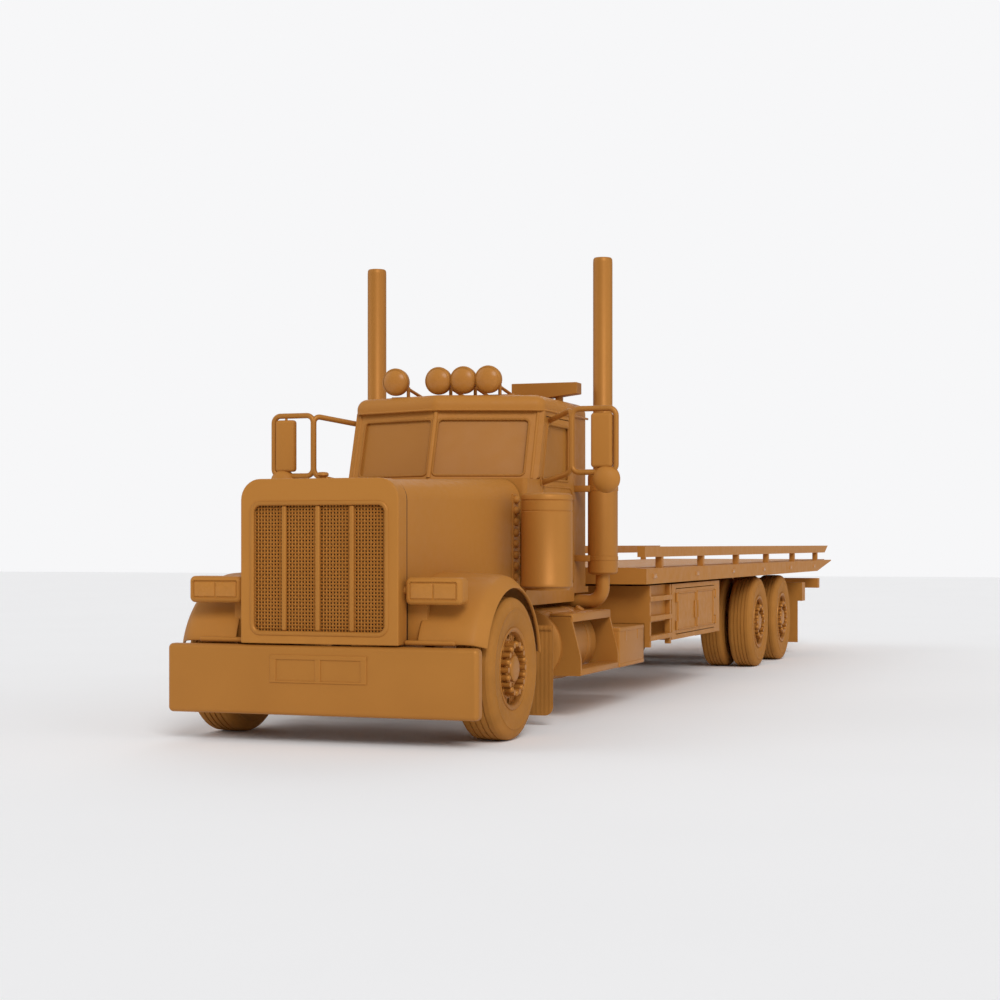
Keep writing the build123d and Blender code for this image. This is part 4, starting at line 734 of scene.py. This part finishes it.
bm = bmesh.new()
box(bm, (LAMP_BACK, LAMP_FRONT), (0.640, 1.064), (1.000, 1.192), 0.038, 7)
bm.normal_update()
pushed_front(bm, LAMP_FRONT, 0.006, 0.012)
bar(bm, (behind(-0.640), 0.600, 1.100), (behind(-0.640), 0.660, 1.100), 0.030)
both_sides(bm)
place(bm, "headlight_pods", body_paint, "hood", "bright_metal", "headlights")

bm = bmesh.new()
for low, high in ((0.681, 0.849), (0.855, 1.023)):
    box(bm, (LAMP_FRONT - 0.026, LAMP_FRONT - 0.004), (low, high), (1.041, 1.151), 0.010, 4)
both_sides(bm)
place(bm, "headlight_lenses", lamp_lens, "hood", "glass")
print("two pods with two lenses each")

# %% [markdown]
# ## Hood edge
# Along the hood's rear edge runs an upright strip with a row of domed fasteners. A box makes the strip,
# and a half-round lathe profile repeated up its height makes the domes.

# %% Fastener strips
DOME = [
    (0.0, 0.040), (0.012, 0.038), (0.023, 0.032), (0.030, 0.022), (0.033, 0.010), (0.032, 0.002),
    (0.028, -0.006),
]
bm = bmesh.new()
strip_x = behind(1.138)
strip_y = hood_side(strip_x)
strip = box(bm, (strip_x - 0.044, strip_x + 0.044), (strip_y - 0.008, strip_y + 0.007), (1.050, 1.822))
for corner in strip:
    corner.co.y += hood_side(corner.co.x) - strip_y
for step in range(8):
    lathe(bm, (strip_x, strip_y + 0.004, 1.161 + 0.0875 * step), (0, 1, 0), DOME, 20)
both_sides(bm)
place(bm, "hood_fasteners", body_paint, "hood", "body_paint", soften=0.003)
print("eight domes a side")

# %% [markdown]
# ## Roof lamps and light bar
# Four round lamps stand on posts over the windshield, each stayed by a slanting brace to the roof behind
# it, and a flat light bar rises from the roof farther back. A lamp is turned: a deep bowl, a rolled rim
# and a domed lens.

# %% Roof lamps
ROOF_TOP = 2.650
LAMP_X, LAMP_Z = behind(1.640), 2.783
POST_X, BRACE_X = LAMP_X - 0.200, LAMP_X - 0.660
FOOT_Z = (ROOF_TOP - 0.002, ROOF_TOP + 0.014)
BOWL = [
    (0.0, -0.104), (0.040, -0.102), (0.074, -0.092), (0.100, -0.068), (0.112, -0.036), (0.116, -0.004),
    (0.115, 0.014), (0.109, 0.026), (0.100, 0.032),
]
LENS = [(0.0, 0.062), (0.038, 0.058), (0.070, 0.048), (0.092, 0.036), (0.101, 0.028), (0.102, 0.020)]
LAMP_YS = (-0.454, -0.067, 0.155, 0.375)
bm = bmesh.new()
for y in LAMP_YS:
    lathe(bm, (LAMP_X, y, LAMP_Z), (1, 0, 0), BOWL, 36)
    bar(bm, (POST_X, y + 0.030, ROOF_TOP), (POST_X, y + 0.030, 2.756), 0.015, 14)
    bar(bm, (LAMP_X - 0.085, y, 2.778), (BRACE_X, y + 0.030, ROOF_TOP + 0.014), 0.014, 14)
    box(bm, (BRACE_X - 0.040, POST_X + 0.050), (y, y + 0.060), FOOT_Z, 0.004, 2)
box(bm, (POST_X - 0.050, POST_X + 0.050), (-0.560, 0.560), (ROOF_TOP - 0.002, ROOF_TOP + 0.020), 0.005, 2)
place(bm, "roof_lamp_row", bright_metal, "chassis", "bright_metal", "roof_lamps")

bm = bmesh.new()
for y in LAMP_YS:
    lathe(bm, (LAMP_X, y, LAMP_Z), (1, 0, 0), LENS, 36)
place(bm, "roof_lamp_lenses", lamp_lens, "chassis", "glass")

bm = bmesh.new()
wedge = box(bm, (behind(2.580), behind(2.440)), (0.290, 0.885), (ROOF_TOP + 0.068, ROOF_TOP + 0.165))
for corner in wedge:
    if corner.co.y < 0.5 and corner.co.z < ROOF_TOP + 0.1:
        corner.co.z = ROOF_TOP - 0.004
box(bm, (behind(2.540), behind(2.480)), (0.677, 0.733), (ROOF_TOP - 0.030, ROOF_TOP + 0.115), 0.006, 2)
place(bm, "light_bar", bright_metal, "chassis", "bright_metal", soften=0.010)
print("four lamps and a light bar")

# %% [markdown]
# ## Mirrors
# Each door carries a tall mirror in a bent tube frame: an outer loop that holds the mirror head and a
# slanting arm above and below that reaches the door. Bent tubes are curves with round bends; the head is
# a box with a heavy round-over and a bright pane on its rear face, and the round spot mirror below it is
# turned.

# %% Mirrors
MIRROR_X = behind(1.500)
LOOP_IN, LOOP_OUT, LOOP_LOW, LOOP_TOP = 1.150, 1.518, 2.000, 2.510
ARM_FEET = ((behind(1.635), 1.923), (behind(1.825), 2.442))
SPOT = [
    (0.0, 0.074), (0.034, 0.071), (0.068, 0.059), (0.096, 0.036), (0.111, 0.010), (0.114, -0.014),
    (0.108, -0.030), (0.098, -0.034), (0.0, -0.036),
]
for side, sign in SIDES:
    body = f"door_{side}"
    loop = tube(f"mirror_loop_{side}", [
        (MIRROR_X, sign * LOOP_IN, LOOP_LOW), (MIRROR_X, sign * LOOP_OUT, LOOP_LOW),
        (MIRROR_X, sign * LOOP_OUT, LOOP_TOP), (MIRROR_X, sign * LOOP_IN, LOOP_TOP),
    ], 0.023, 0.060, closed=True)
    adopt(loop, bright_metal, body, "bright_metal", f"mirror_{side}")
    low_foot, high_foot = ARM_FEET
    foot_y = sign * (CAB_HALF_W + 0.004)
    arm = tube(f"mirror_arm_{side}", [
        (low_foot[0], foot_y, low_foot[1]), (MIRROR_X, sign * 1.146, LOOP_LOW),
        (MIRROR_X, sign * 1.146, LOOP_TOP - 0.004), (high_foot[0], foot_y, high_foot[1]),
    ], 0.023, 0.060)
    adopt(arm, bright_metal, body, "bright_metal")
    bm = bmesh.new()
    box(bm, (MIRROR_X - 0.034, MIRROR_X + 0.040), span(sign, 1.314, 1.492), (2.036, 2.474), 0.026, 5)
    for z in (2.010, 2.500):
        bar(bm, (MIRROR_X, sign * 1.403, z - 0.035), (MIRROR_X, sign * 1.403, z + 0.010), 0.011, 12)
    for x, z in ARM_FEET:
        pad = span(sign, CAB_HALF_W, CAB_HALF_W + 0.012)
        box(bm, (x - 0.030, x + 0.030), pad, (z - 0.024, z + 0.024), 0.005, 2)
    lathe(bm, (MIRROR_X, sign * 1.436, 1.945), (1, 0, 0), SPOT, 36)
    place(bm, f"mirror_head_{side}", body_paint, body, "bright_metal")
    bm = bmesh.new()
    box(bm, (MIRROR_X - 0.0365, MIRROR_X - 0.030), span(sign, 1.330, 1.476), (2.052, 2.458), 0.002, 2)
    place(bm, f"mirror_pane_{side}", tinted_glass, body, "glass")
print("mirrors on both doors")

# %% [markdown]
# ## Air cleaners
# The big cans beside the cowl are pure lathe work: a flat lid with a rolled lip, two clamp bands, a long
# drum and a stepped foot. Two straps tie each can back to the cab.

# %% Air cleaners
CAN = [
    (0.0, 0.757), (0.150, 0.756), (0.184, 0.750), (0.198, 0.738), (0.202, 0.722), (0.202, 0.704),
    (0.196, 0.698), (0.196, 0.694), (0.200, 0.690), (0.200, 0.622), (0.196, 0.617), (0.196, 0.613),
    (0.200, 0.608), (0.200, 0.060), (0.204, 0.054), (0.204, 0.030), (0.196, 0.022), (0.180, 0.018),
    (0.174, 0.0), (0.0, 0.0),
]
bm = bmesh.new()
lathe(bm, (behind(1.015), 1.100, 1.065), (0, 0, 1), CAN, 64)
for z in (1.200, 1.640):
    box(bm, (behind(1.330), behind(1.165)), (CAB_HALF_W, 0.859), (z - 0.026, z + 0.026), 0.004, 2)
    box(bm, (behind(1.205), behind(1.150)), (CAB_HALF_W, 1.060), (z - 0.026, z + 0.026), 0.006, 2)
both_sides(bm)
place(bm, "air_cleaner_cans", bright_metal, "chassis", "bright_metal", "air_cleaners")

# %% [markdown]
# ## Exhaust stacks
# A fat muffler drum with rounded ends carries a slim stack that stands high over the roof. The drum and
# stack share one lathe profile; the pipe that feeds it is a bent tube that turns in under the cab.

# %% Exhaust stacks
STACK = [
    (0.0, 0.0), (0.070, 0.002), (0.112, 0.008), (0.127, 0.022), (0.130, 0.040), (0.130, 0.850),
    (0.126, 0.866), (0.108, 0.880), (0.088, 0.886), (0.084, 0.892), (0.084, 2.700), (0.082, 2.728),
    (0.074, 2.740), (0.066, 2.732), (0.064, 2.700), (0.064, 2.450), (0.0, 2.450),
]
CLAMP = [(0.129, 0.0), (0.134, 0.003), (0.134, 0.037), (0.129, 0.040)]
STACK_X, STACK_Y, FEED_Z = behind(2.620), 1.065, 0.925
bm = bmesh.new()
lathe(bm, (STACK_X, STACK_Y, 1.156), (0, 0, 1), STACK, 48)
for z in (1.300, 1.900):
    lathe(bm, (STACK_X, STACK_Y, z - 0.020), (0, 0, 1), CLAMP, 48)
    box(bm, (behind(2.560), behind(2.500)), (CAB_HALF_W, 0.985), (z - 0.028, z + 0.028), 0.006, 2)
both_sides(bm)
place(bm, "stacks", bright_metal, "chassis", "bright_metal", "exhaust_stacks")
for side, sign in SIDES:
    feed = tube(f"exhaust_pipe_{side}", [
        (STACK_X, sign * STACK_Y, 1.160), (STACK_X, sign * STACK_Y, FEED_Z), (STACK_X, sign * 0.436, FEED_Z)
    ], 0.062, 0.125)
    adopt(feed, bright_metal, "chassis", "bright_metal")

# %% [markdown]
# ## Fuel tanks and steps
# Under each door a round tank lies lengthwise behind a step frame. The tank is turned with domed ends and
# belted by two straps. The step frame has a slanting plate at each end, a tread on top with a turned-down
# lip, and a lower tread; all are sheet, so their edges are only lightly broken.

# %% Fuel tanks
TANK = [
    (0.0, 0.0), (0.120, 0.004), (0.210, 0.014), (0.270, 0.028), (0.298, 0.046), (0.307, 0.070),
    (0.307, 0.970), (0.298, 0.994), (0.270, 1.012), (0.210, 1.026), (0.120, 1.036), (0.0, 1.040),
]
STRAP = [(0.306, 0.0), (0.3115, 0.002), (0.3115, 0.058), (0.306, 0.060)]
FUEL_CAP = [(0.0, 0.046), (0.036, 0.044), (0.044, 0.036), (0.044, 0.0)]
TANK_REAR, TANK_Y, TANK_Z = behind(2.540), 0.7403, 0.590
bm = bmesh.new()
lathe(bm, (TANK_REAR, TANK_Y, TANK_Z), (1, 0, 0), TANK, 56)
for start in (0.230, 0.730):
    lathe(bm, (TANK_REAR + start, TANK_Y, TANK_Z), (1, 0, 0), STRAP, 56)
lathe(bm, (behind(2.440), 0.900, 0.842), (0, 0.5, 0.87), FUEL_CAP, 24)
for setback in (1.750, 2.290):
    box(bm, (behind(setback + 0.040), behind(setback - 0.040)), (0.434, 0.740), (0.770, 0.870), 0.008, 2)
both_sides(bm)
place(bm, "tanks", bright_metal, "chassis", "bright_metal", "fuel_tanks")

# %% Steps
STEP_FRONT, STEP_REAR, STEP_SHEET = behind(1.560), behind(2.640), 0.030
TREAD_INSET = 0.008
STUD = [(0.0, 0.004), (0.007, 0.003), (0.010, 0.0)]
bm = bmesh.new()
for x in (STEP_FRONT, STEP_REAR + STEP_SHEET):
    plate = outline(bm, [
        (x, 0.800, 0.355), (x, 1.204, 0.355), (x, 1.204, 0.500), (x, 1.118, 0.835), (x, 0.940, 0.835)
    ], (0, 0.012, 0.030, 0.020, 0))
    fresh = [face for face in plate if abs(face.calc_center_median().x - x) < 0.001]
    pulled = bmesh.ops.extrude_face_region(bm, geom=fresh)["geom"]
    corners = [item for item in pulled if isinstance(item, bmesh.types.BMVert)]
    bmesh.ops.translate(bm, verts=corners, vec=(-STEP_SHEET, 0, 0))
inside = (STEP_REAR + TREAD_INSET, STEP_FRONT - TREAD_INSET)
box(bm, (STEP_REAR, STEP_FRONT), (0.936, 1.128), (0.837, 0.858), 0.006, 2)
box(bm, inside, (1.110, 1.132), (0.790, 0.857), 0.006, 2)
box(bm, inside, (1.010, 1.206), (0.357, 0.408), 0.010, 2)
for index in range(11):
    x = behind(1.620 + 0.094 * index)
    for z, studs in ((0.857, (0.970, 1.010, 1.050, 1.090)), (0.407, (1.060, 1.110, 1.160))):
        for y in studs:
            lathe(bm, (x, y, z), (0, 0, 1), STUD, 8)
both_sides(bm)
place(bm, "step_frames", bright_metal, "chassis", "bright_metal", "cab_steps", soften=0.003)

# %% [markdown]
# ## Fender aprons
# Between radiator shell and fender a small upright apron stands back from both, so that a shallow pocket
# shows beside the shell, and a ledge with a round end runs along the fender's foot just above the bumper.

# %% Aprons
bm = bmesh.new()
box(bm, (behind(-0.540), behind(-0.590)), (0.608, 0.760), (0.716, 1.010), 0.008, 2)
box(bm, (behind(-0.560), behind(-0.680)), (0.618, 1.000), (0.714, 0.750), 0.016, 4)
both_sides(bm)
place(bm, "fender_aprons", body_paint, "hood", "body_paint")
print("aprons below the pods")

# %% [markdown]
# ## Cab trim
# The windshield is two flat panes that meet in a shallow V, each set in a rubber strip. On the real cab
# that strip is a moulding with a round bead, so here it is a bent tube laid round each opening, in the
# plane of the pane. The same goes for the door windows, the seam round the door and the drip rail under
# the roof.

# %% Windshield and roof trim
COWL_TOP, DRIP_Z = 1.950, 2.524
RAKE, SWEEP = 0.175 / 0.570, 0.290 / CAB_HALF_W


def leaned(distance, z):
    """X on an edge that follows the windshield's rake, given its setback at the cowl."""
    return behind(distance + RAKE * (z - COWL_TOP))


def pane_point(sign, across, z, proud=0.0):
    """A point on one half of the windshield, across from the middle at a height, moved forward by proud."""
    return (leaned(1.250 + SWEEP * across, z) + proud, sign * across, z)


for side, sign in SIDES:
    corners = ((0.025, 1.981), (0.733, 1.981), (0.733, 2.447), (0.025, 2.447))
    points = [pane_point(sign, *corner) for corner in corners]
    strip = tube(f"windshield_strip_{side}", points, 0.010, 0.038, closed=True)
    adopt(strip, flap_rubber, "chassis", "flap_rubber")

bm = bmesh.new()
bar(bm, pane_point(1, 0.0, 1.960, -0.008), pane_point(1, 0.0, 2.515, -0.008), 0.020, 20)
for sign in (1, -1):
    bar(bm, pane_point(sign, 0.792, 1.955, -0.006), pane_point(sign, 0.792, 2.515, -0.006), 0.014, 16)
place(bm, "windshield_bars", body_paint, "chassis", "body_paint")

drip = tube("drip_rail", [
    (behind(2.860), 0.850, DRIP_Z), (behind(1.675), 0.850, DRIP_Z), (behind(1.383), 0.0, DRIP_Z),
    (behind(1.675), -0.850, DRIP_Z), (behind(2.860), -0.850, DRIP_Z),
], 0.010, 0.100)
adopt(drip, body_paint, "chassis", "body_paint")
print("windshield, pillars and drip rail trimmed")

# %% Door trim
WINDOW_LOW, WINDOW_TOP, WINDOW_REAR = 1.955, 2.415, behind(2.330)
BEAD_FRONT, BEAD_REAR, BEAD_LOW, BEAD_TOP = behind(1.640), behind(2.440), 1.140, 1.900
SCREW = [(0.0, 0.008), (0.008, 0.006), (0.011, 0.0)]
for side, sign in SIDES:
    skin = sign * CAB_HALF_W
    escutcheon = span(sign, CAB_HALF_W, CAB_HALF_W + 0.026)
    lever = span(sign, CAB_HALF_W + 0.018, CAB_HALF_W + 0.034)
    window = tube(f"window_strip_{side}", [
        (leaned(1.642, WINDOW_LOW), skin, WINDOW_LOW), (leaned(1.642, WINDOW_TOP), skin, WINDOW_TOP),
        (WINDOW_REAR, skin, WINDOW_TOP), (WINDOW_REAR, skin, WINDOW_LOW),
    ], 0.011, 0.030, closed=True)
    adopt(window, flap_rubber, f"door_{side}", "flap_rubber")
    seam = tube(f"door_bead_{side}", [
        (BEAD_FRONT, skin, BEAD_LOW), (BEAD_FRONT, skin, BEAD_TOP), (BEAD_REAR, skin, BEAD_TOP),
        (BEAD_REAR, skin, BEAD_LOW),
    ], 0.008, 0.090, closed=True)
    adopt(seam, body_paint, f"door_{side}", "body_paint")
    bm = bmesh.new()
    box(bm, (behind(2.455), behind(2.305)), escutcheon, (1.783, 1.847), 0.011, 4)
    box(bm, (behind(2.420), behind(2.330)), lever, (1.800, 1.830), 0.007, 3)
    for z in (1.250, 1.700):
        for step in (-0.030, 0.030):
            lathe(bm, (behind(1.660), skin + sign * 0.011, z + step), (0, sign, 0), SCREW, 10)
    place(bm, f"door_handle_{side}", bright_metal, f"door_{side}", "bright_metal")
print("doors trimmed")

# %% [markdown]
# ## Bumper
# The bumper is one deep channel of bright metal with round edges, made here as a box with its edges well
# rounded. In the middle of its face a raised frame of flat strips holds two blank plates.

# %% Bumper
BUMPER_FACE = behind(-0.772)
bm = bmesh.new()
box(bm, (behind(-0.660), BUMPER_FACE), (-1.207, 1.207), (0.206, 0.704), 0.034, 6)
place(bm, "bumper_channel", bright_metal, "chassis", "bright_metal", "front_bumper")

bm = bmesh.new()
for low, high in ((0.438, 0.454), (0.603, 0.638)):
    box(bm, (BUMPER_FACE - 0.010, BUMPER_FACE + 0.0075), (-0.378, 0.378), (low, high), 0.005, 3)
for low, high in ((-0.378, -0.328), (-0.022, 0.022), (0.328, 0.378)):
    box(bm, (BUMPER_FACE - 0.010, BUMPER_FACE + 0.0070), (low, high), (0.440, 0.636), 0.005, 3)
place(bm, "plate_frame", bright_metal, "chassis", "bright_metal")

bm = bmesh.new()
for sign in (1, -1):
    box(bm, (behind(-0.380), behind(-0.700)), span(sign, 0.433, 0.459), (0.576, 0.704), 0.008, 2)
place(bm, "bumper_brackets", frame_paint, "chassis", "frame_paint")
print("bumper with plate frame and brackets")

# %% [markdown]
# ## Boxes, flaps and ladders along the frame
# Behind the steps come a low battery box, a mud flap and, farther back, the toolbox with its ladder. They
# are sheet metal with folded edges: boxes whose edges are rounded a little, lids with a lip, and turned
# rungs.

# %% Side boxes and flaps
(low_x, _, low_z), (high_x, high_y, high_z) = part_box("side_boxes")
bm = bmesh.new()
box(bm, (low_x, high_x), (0.500, high_y - 0.004), (low_z + 0.030, high_z - 0.030), 0.010, 3)
box(bm, (low_x, high_x), (0.470, high_y), (high_z - 0.040, high_z), 0.012, 3)
box(bm, (low_x, high_x), (0.500, high_y), (low_z, low_z + 0.040), 0.012, 3)
for share in (0.25, 0.75):
    x = low_x + share * (high_x - low_x)
    hasp = (high_z - 0.120, high_z - 0.030)
    box(bm, (x - 0.030, x + 0.030), (high_y - 0.010, high_y - 0.001), hasp, 0.004, 2)
both_sides(bm)
place(bm, "battery_boxes", bright_metal, "chassis", "bright_metal", "side_boxes")

# %% Ladders
RUNG_END = [(0.040, 0.0), (0.040, 0.010), (0.032, 0.020), (0.026, 0.022)]
(low_x, _, _), (high_x, high_y, _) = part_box("ladders")
bm = bmesh.new()
for z in (0.560, 0.740, 0.920):
    bar(bm, (low_x + 0.020, high_y - 0.040, z), (high_x - 0.020, high_y - 0.040, z), 0.026, 20)
    for x, turn in ((low_x + 0.016, 1), (high_x - 0.016, -1)):
        lathe(bm, (x, high_y - 0.040, z), (turn, 0, 0), RUNG_END, 20)
both_sides(bm)
place(bm, "ladder_rungs", bright_metal, "chassis", "body_paint")

# %% Toolbox leaves
LEAF_Y, LEAF_BEAD_LOW, LEAF_BEAD_TOP = 1.234, 0.600, 0.952
# Each leaf: rear and front end of its bead, and its latch, behind the front axle
LEAVES = (("front", 5.230, 4.540, 5.200), ("rear", 5.980, 5.290, 5.320))
for side, sign in SIDES:
    for leaf, rear, front, latch in LEAVES:
        node = f"toolbox_leaf_{leaf}_{side}"
        face = sign * LEAF_Y
        bead = tube(f"{node}_bead", [
            (behind(rear), face, LEAF_BEAD_LOW), (behind(rear), face, LEAF_BEAD_TOP),
            (behind(front), face, LEAF_BEAD_TOP), (behind(front), face, LEAF_BEAD_LOW),
        ], 0.007, 0.030, closed=True)
        adopt(bead, body_paint, node, "body_paint")
        bm = bmesh.new()
        handle = span(sign, LEAF_Y - 0.004, LEAF_Y + 0.014)
        box(bm, (behind(latch + 0.020), behind(latch - 0.020)), handle, (0.690, 0.862), 0.007, 3)
        place(bm, f"{node}_latch", bright_metal, node, "bright_metal")

# %% [markdown]
# ## Bed
# The deck is tread plate, the pressed steel with short raised bars that cross at right angles, so the
# finish of its top gets that pattern as fine relief, and its sides stay plain. Small marker lamps line
# the sills.

# %% Tread plate
DECK_TOP = 1.210
tread = Finish("tread_plate", 0.5)
pattern = None
for first, second, shift in ((46.0, 140.0, 0.0), (140.0, 46.0, 1.57)):
    wave = tread.math("MULTIPLY", tread.ridges("X", first, shift), tread.ridges("Y", second, shift))
    raised = tread.ramp(wave, 0.35, 0.6)
    pattern = raised if pattern is None else tread.math("MAXIMUM", pattern, raised)
pattern = tread.math("MULTIPLY", pattern, tread.ramp(tread.axis("Z"), DECK_TOP - 0.004, DECK_TOP - 0.001))
worn = tread.blend(tread.ramp(tread.noise(1.1, 5.0), 0.3, 0.7), OCHRE, OCHRE_FADED)
tread.colour(tread.blend(tread.math("MULTIPLY", pattern, 0.35), worn, BRIGHT))
tread.rough(tread.ramp(tread.noise(9.0, 4.0), 0.3, 0.7, 0.42, 0.6))
tread.relief(pattern, 0.003)
tread.gloss(0.12)
deck = frame["nodes"]["bed_deck"].data
deck.materials.clear()
deck.materials.append(tread.material)
print("tread plate on", len(deck.polygons), "deck faces")

# %% Markers and tail lamps
TAIL_LAMP = [
    (0.0, 0.016), (0.030, 0.014), (0.046, 0.010), (0.050, 0.004), (0.056, 0.004), (0.058, 0.0),
    (0.058, -0.004),
]
bm = bmesh.new()
for setback in (3.60, 5.20, 6.80, 8.40, 10.00, 11.60):
    box(bm, (behind(setback) - 0.060, behind(setback) + 0.060), (1.255, 1.268), (1.112, 1.152), 0.005, 3)
both_sides(bm)
place(bm, "marker_lamps", lamp_lens, "bed", "glass")

bm = bmesh.new()
for y in (0.780, 0.930, 1.080):
    lathe(bm, (behind(11.250), y, 0.800), (-1, 0, 0), TAIL_LAMP, 28)
both_sides(bm)
place(bm, "tail_lamps", lamp_lens, "chassis", "glass")

# %% [markdown]
# ## Inside the cab
# Behind the tinted panes sit two seats, a dashboard with round dials and a steering wheel. A cushion is a
# box whose grid of points is drawn in towards a rounder form, fullest in the middle, with a sewn channel
# down the centre.

# %% Seats


def cushion(name, x, y, z, fullness):
    """A padded block between low and high values: corners drawn in, faces crowned, one sewn channel."""
    middle = Vector(((x[0] + x[1]) / 2, (y[0] + y[1]) / 2, (z[0] + z[1]) / 2))
    half = Vector(((x[1] - x[0]) / 2, (y[1] - y[0]) / 2, (z[1] - z[0]) / 2))
    bm = bmesh.new()
    bmesh.ops.create_cube(bm, size=2.0)
    bmesh.ops.subdivide_edges(bm, edges=bm.edges[:], cuts=9, use_grid_fill=True)
    for vert in bm.verts:
        spread = sum(abs(value) ** fullness for value in vert.co) ** (-1 / fullness)
        rounder = vert.co * spread
        channel = 1.0 - 0.05 * math.exp(-(rounder.y / 0.06) ** 2)
        rounder = Vector((rounder.x * channel, rounder.y, rounder.z * channel))
        vert.co = middle + half * rounder
    piece = place(bm, name, seat_cloth, "chassis", "seat_cover", "seats", sharp=80)
    smooth = piece.modifiers.new("smooth", "SUBSURF")
    smooth.levels = smooth.render_levels = 1


bm = bmesh.new()
for side, sign in SIDES:
    y = span(sign, 0.195, 0.665)
    head = span(sign, 0.305, 0.555)
    cushion(f"seat_base_{side}", (behind(2.495), behind(2.015)), y, (1.330, 1.488), 6)
    cushion(f"seat_back_{side}", (behind(2.548), behind(2.412)), y, (1.482, 2.076), 6)
    cushion(f"headrest_{side}", (behind(2.538), behind(2.442)), head, (2.110, 2.278), 5)
    box(bm, (behind(2.470), behind(2.040)), span(sign, 0.230, 0.630), (1.052, 1.335), 0.020, 3)
    for post in (0.380, 0.480):
        bar(bm, (behind(2.490), sign * post, 2.060), (behind(2.490), sign * post, 2.130), 0.010, 12)
place(bm, "seat_stands", dash_plastic, "chassis", "dash_plastic")
print("two seats")

# %% Steering wheel and dials
WHEEL_R, GRIP_R, GRIP_SIDES = 0.210, 0.022, 12
DIAL = [(0.0, 0.004), (0.036, 0.005), (0.040, 0.012), (0.046, 0.012), (0.048, 0.0)]
bm = bmesh.new()
wheel_axis = Vector((-0.81, 0, 0.59)).normalized()
wheel_hub = Vector((behind(1.700), 0.430, 1.846))
turns = [math.tau * step / GRIP_SIDES for step in range(GRIP_SIDES + 1)]
ring = [(WHEEL_R + GRIP_R * math.cos(turn), 0.015 + GRIP_R * math.sin(turn)) for turn in turns]
lathe(bm, wheel_hub, wheel_axis, ring, 40)
lathe(bm, wheel_hub, wheel_axis, [(0.0, 0.046), (0.040, 0.042), (0.058, 0.030), (0.062, 0.0)], 28)
for y in (0.230, 0.330, 0.430, 0.530, 0.630):
    lathe(bm, (behind(1.559), y, 1.780), (-1, 0, 0), DIAL, 24)
place(bm, "wheel_and_dials", dash_plastic, "chassis", "dash_plastic")
print("steering wheel at", [round(value, 3) for value in wheel_hub])

# %% [markdown]
# ## Floor
# The truck stands on a plain pale floor, which is only a stage.

# %% Floor
bm = bmesh.new()
bmesh.ops.create_grid(bm, x_segments=1, y_segments=1, size=60.0)
floor_mesh = bpy.data.meshes.new("floor")
bm.to_mesh(floor_mesh)
bm.free()
floor = bpy.data.objects.new("floor", floor_mesh)
bpy.context.scene.collection.objects.link(floor)
pale = Finish("pale_floor", 0.9)
pale.mottle(pale.noise(0.4, 3.0), linear(0.965, 0.965, 0.968), linear(0.980, 0.980, 0.983), 0.0, 1.0)
floor.data.materials.append(pale.material)
print("floor laid")
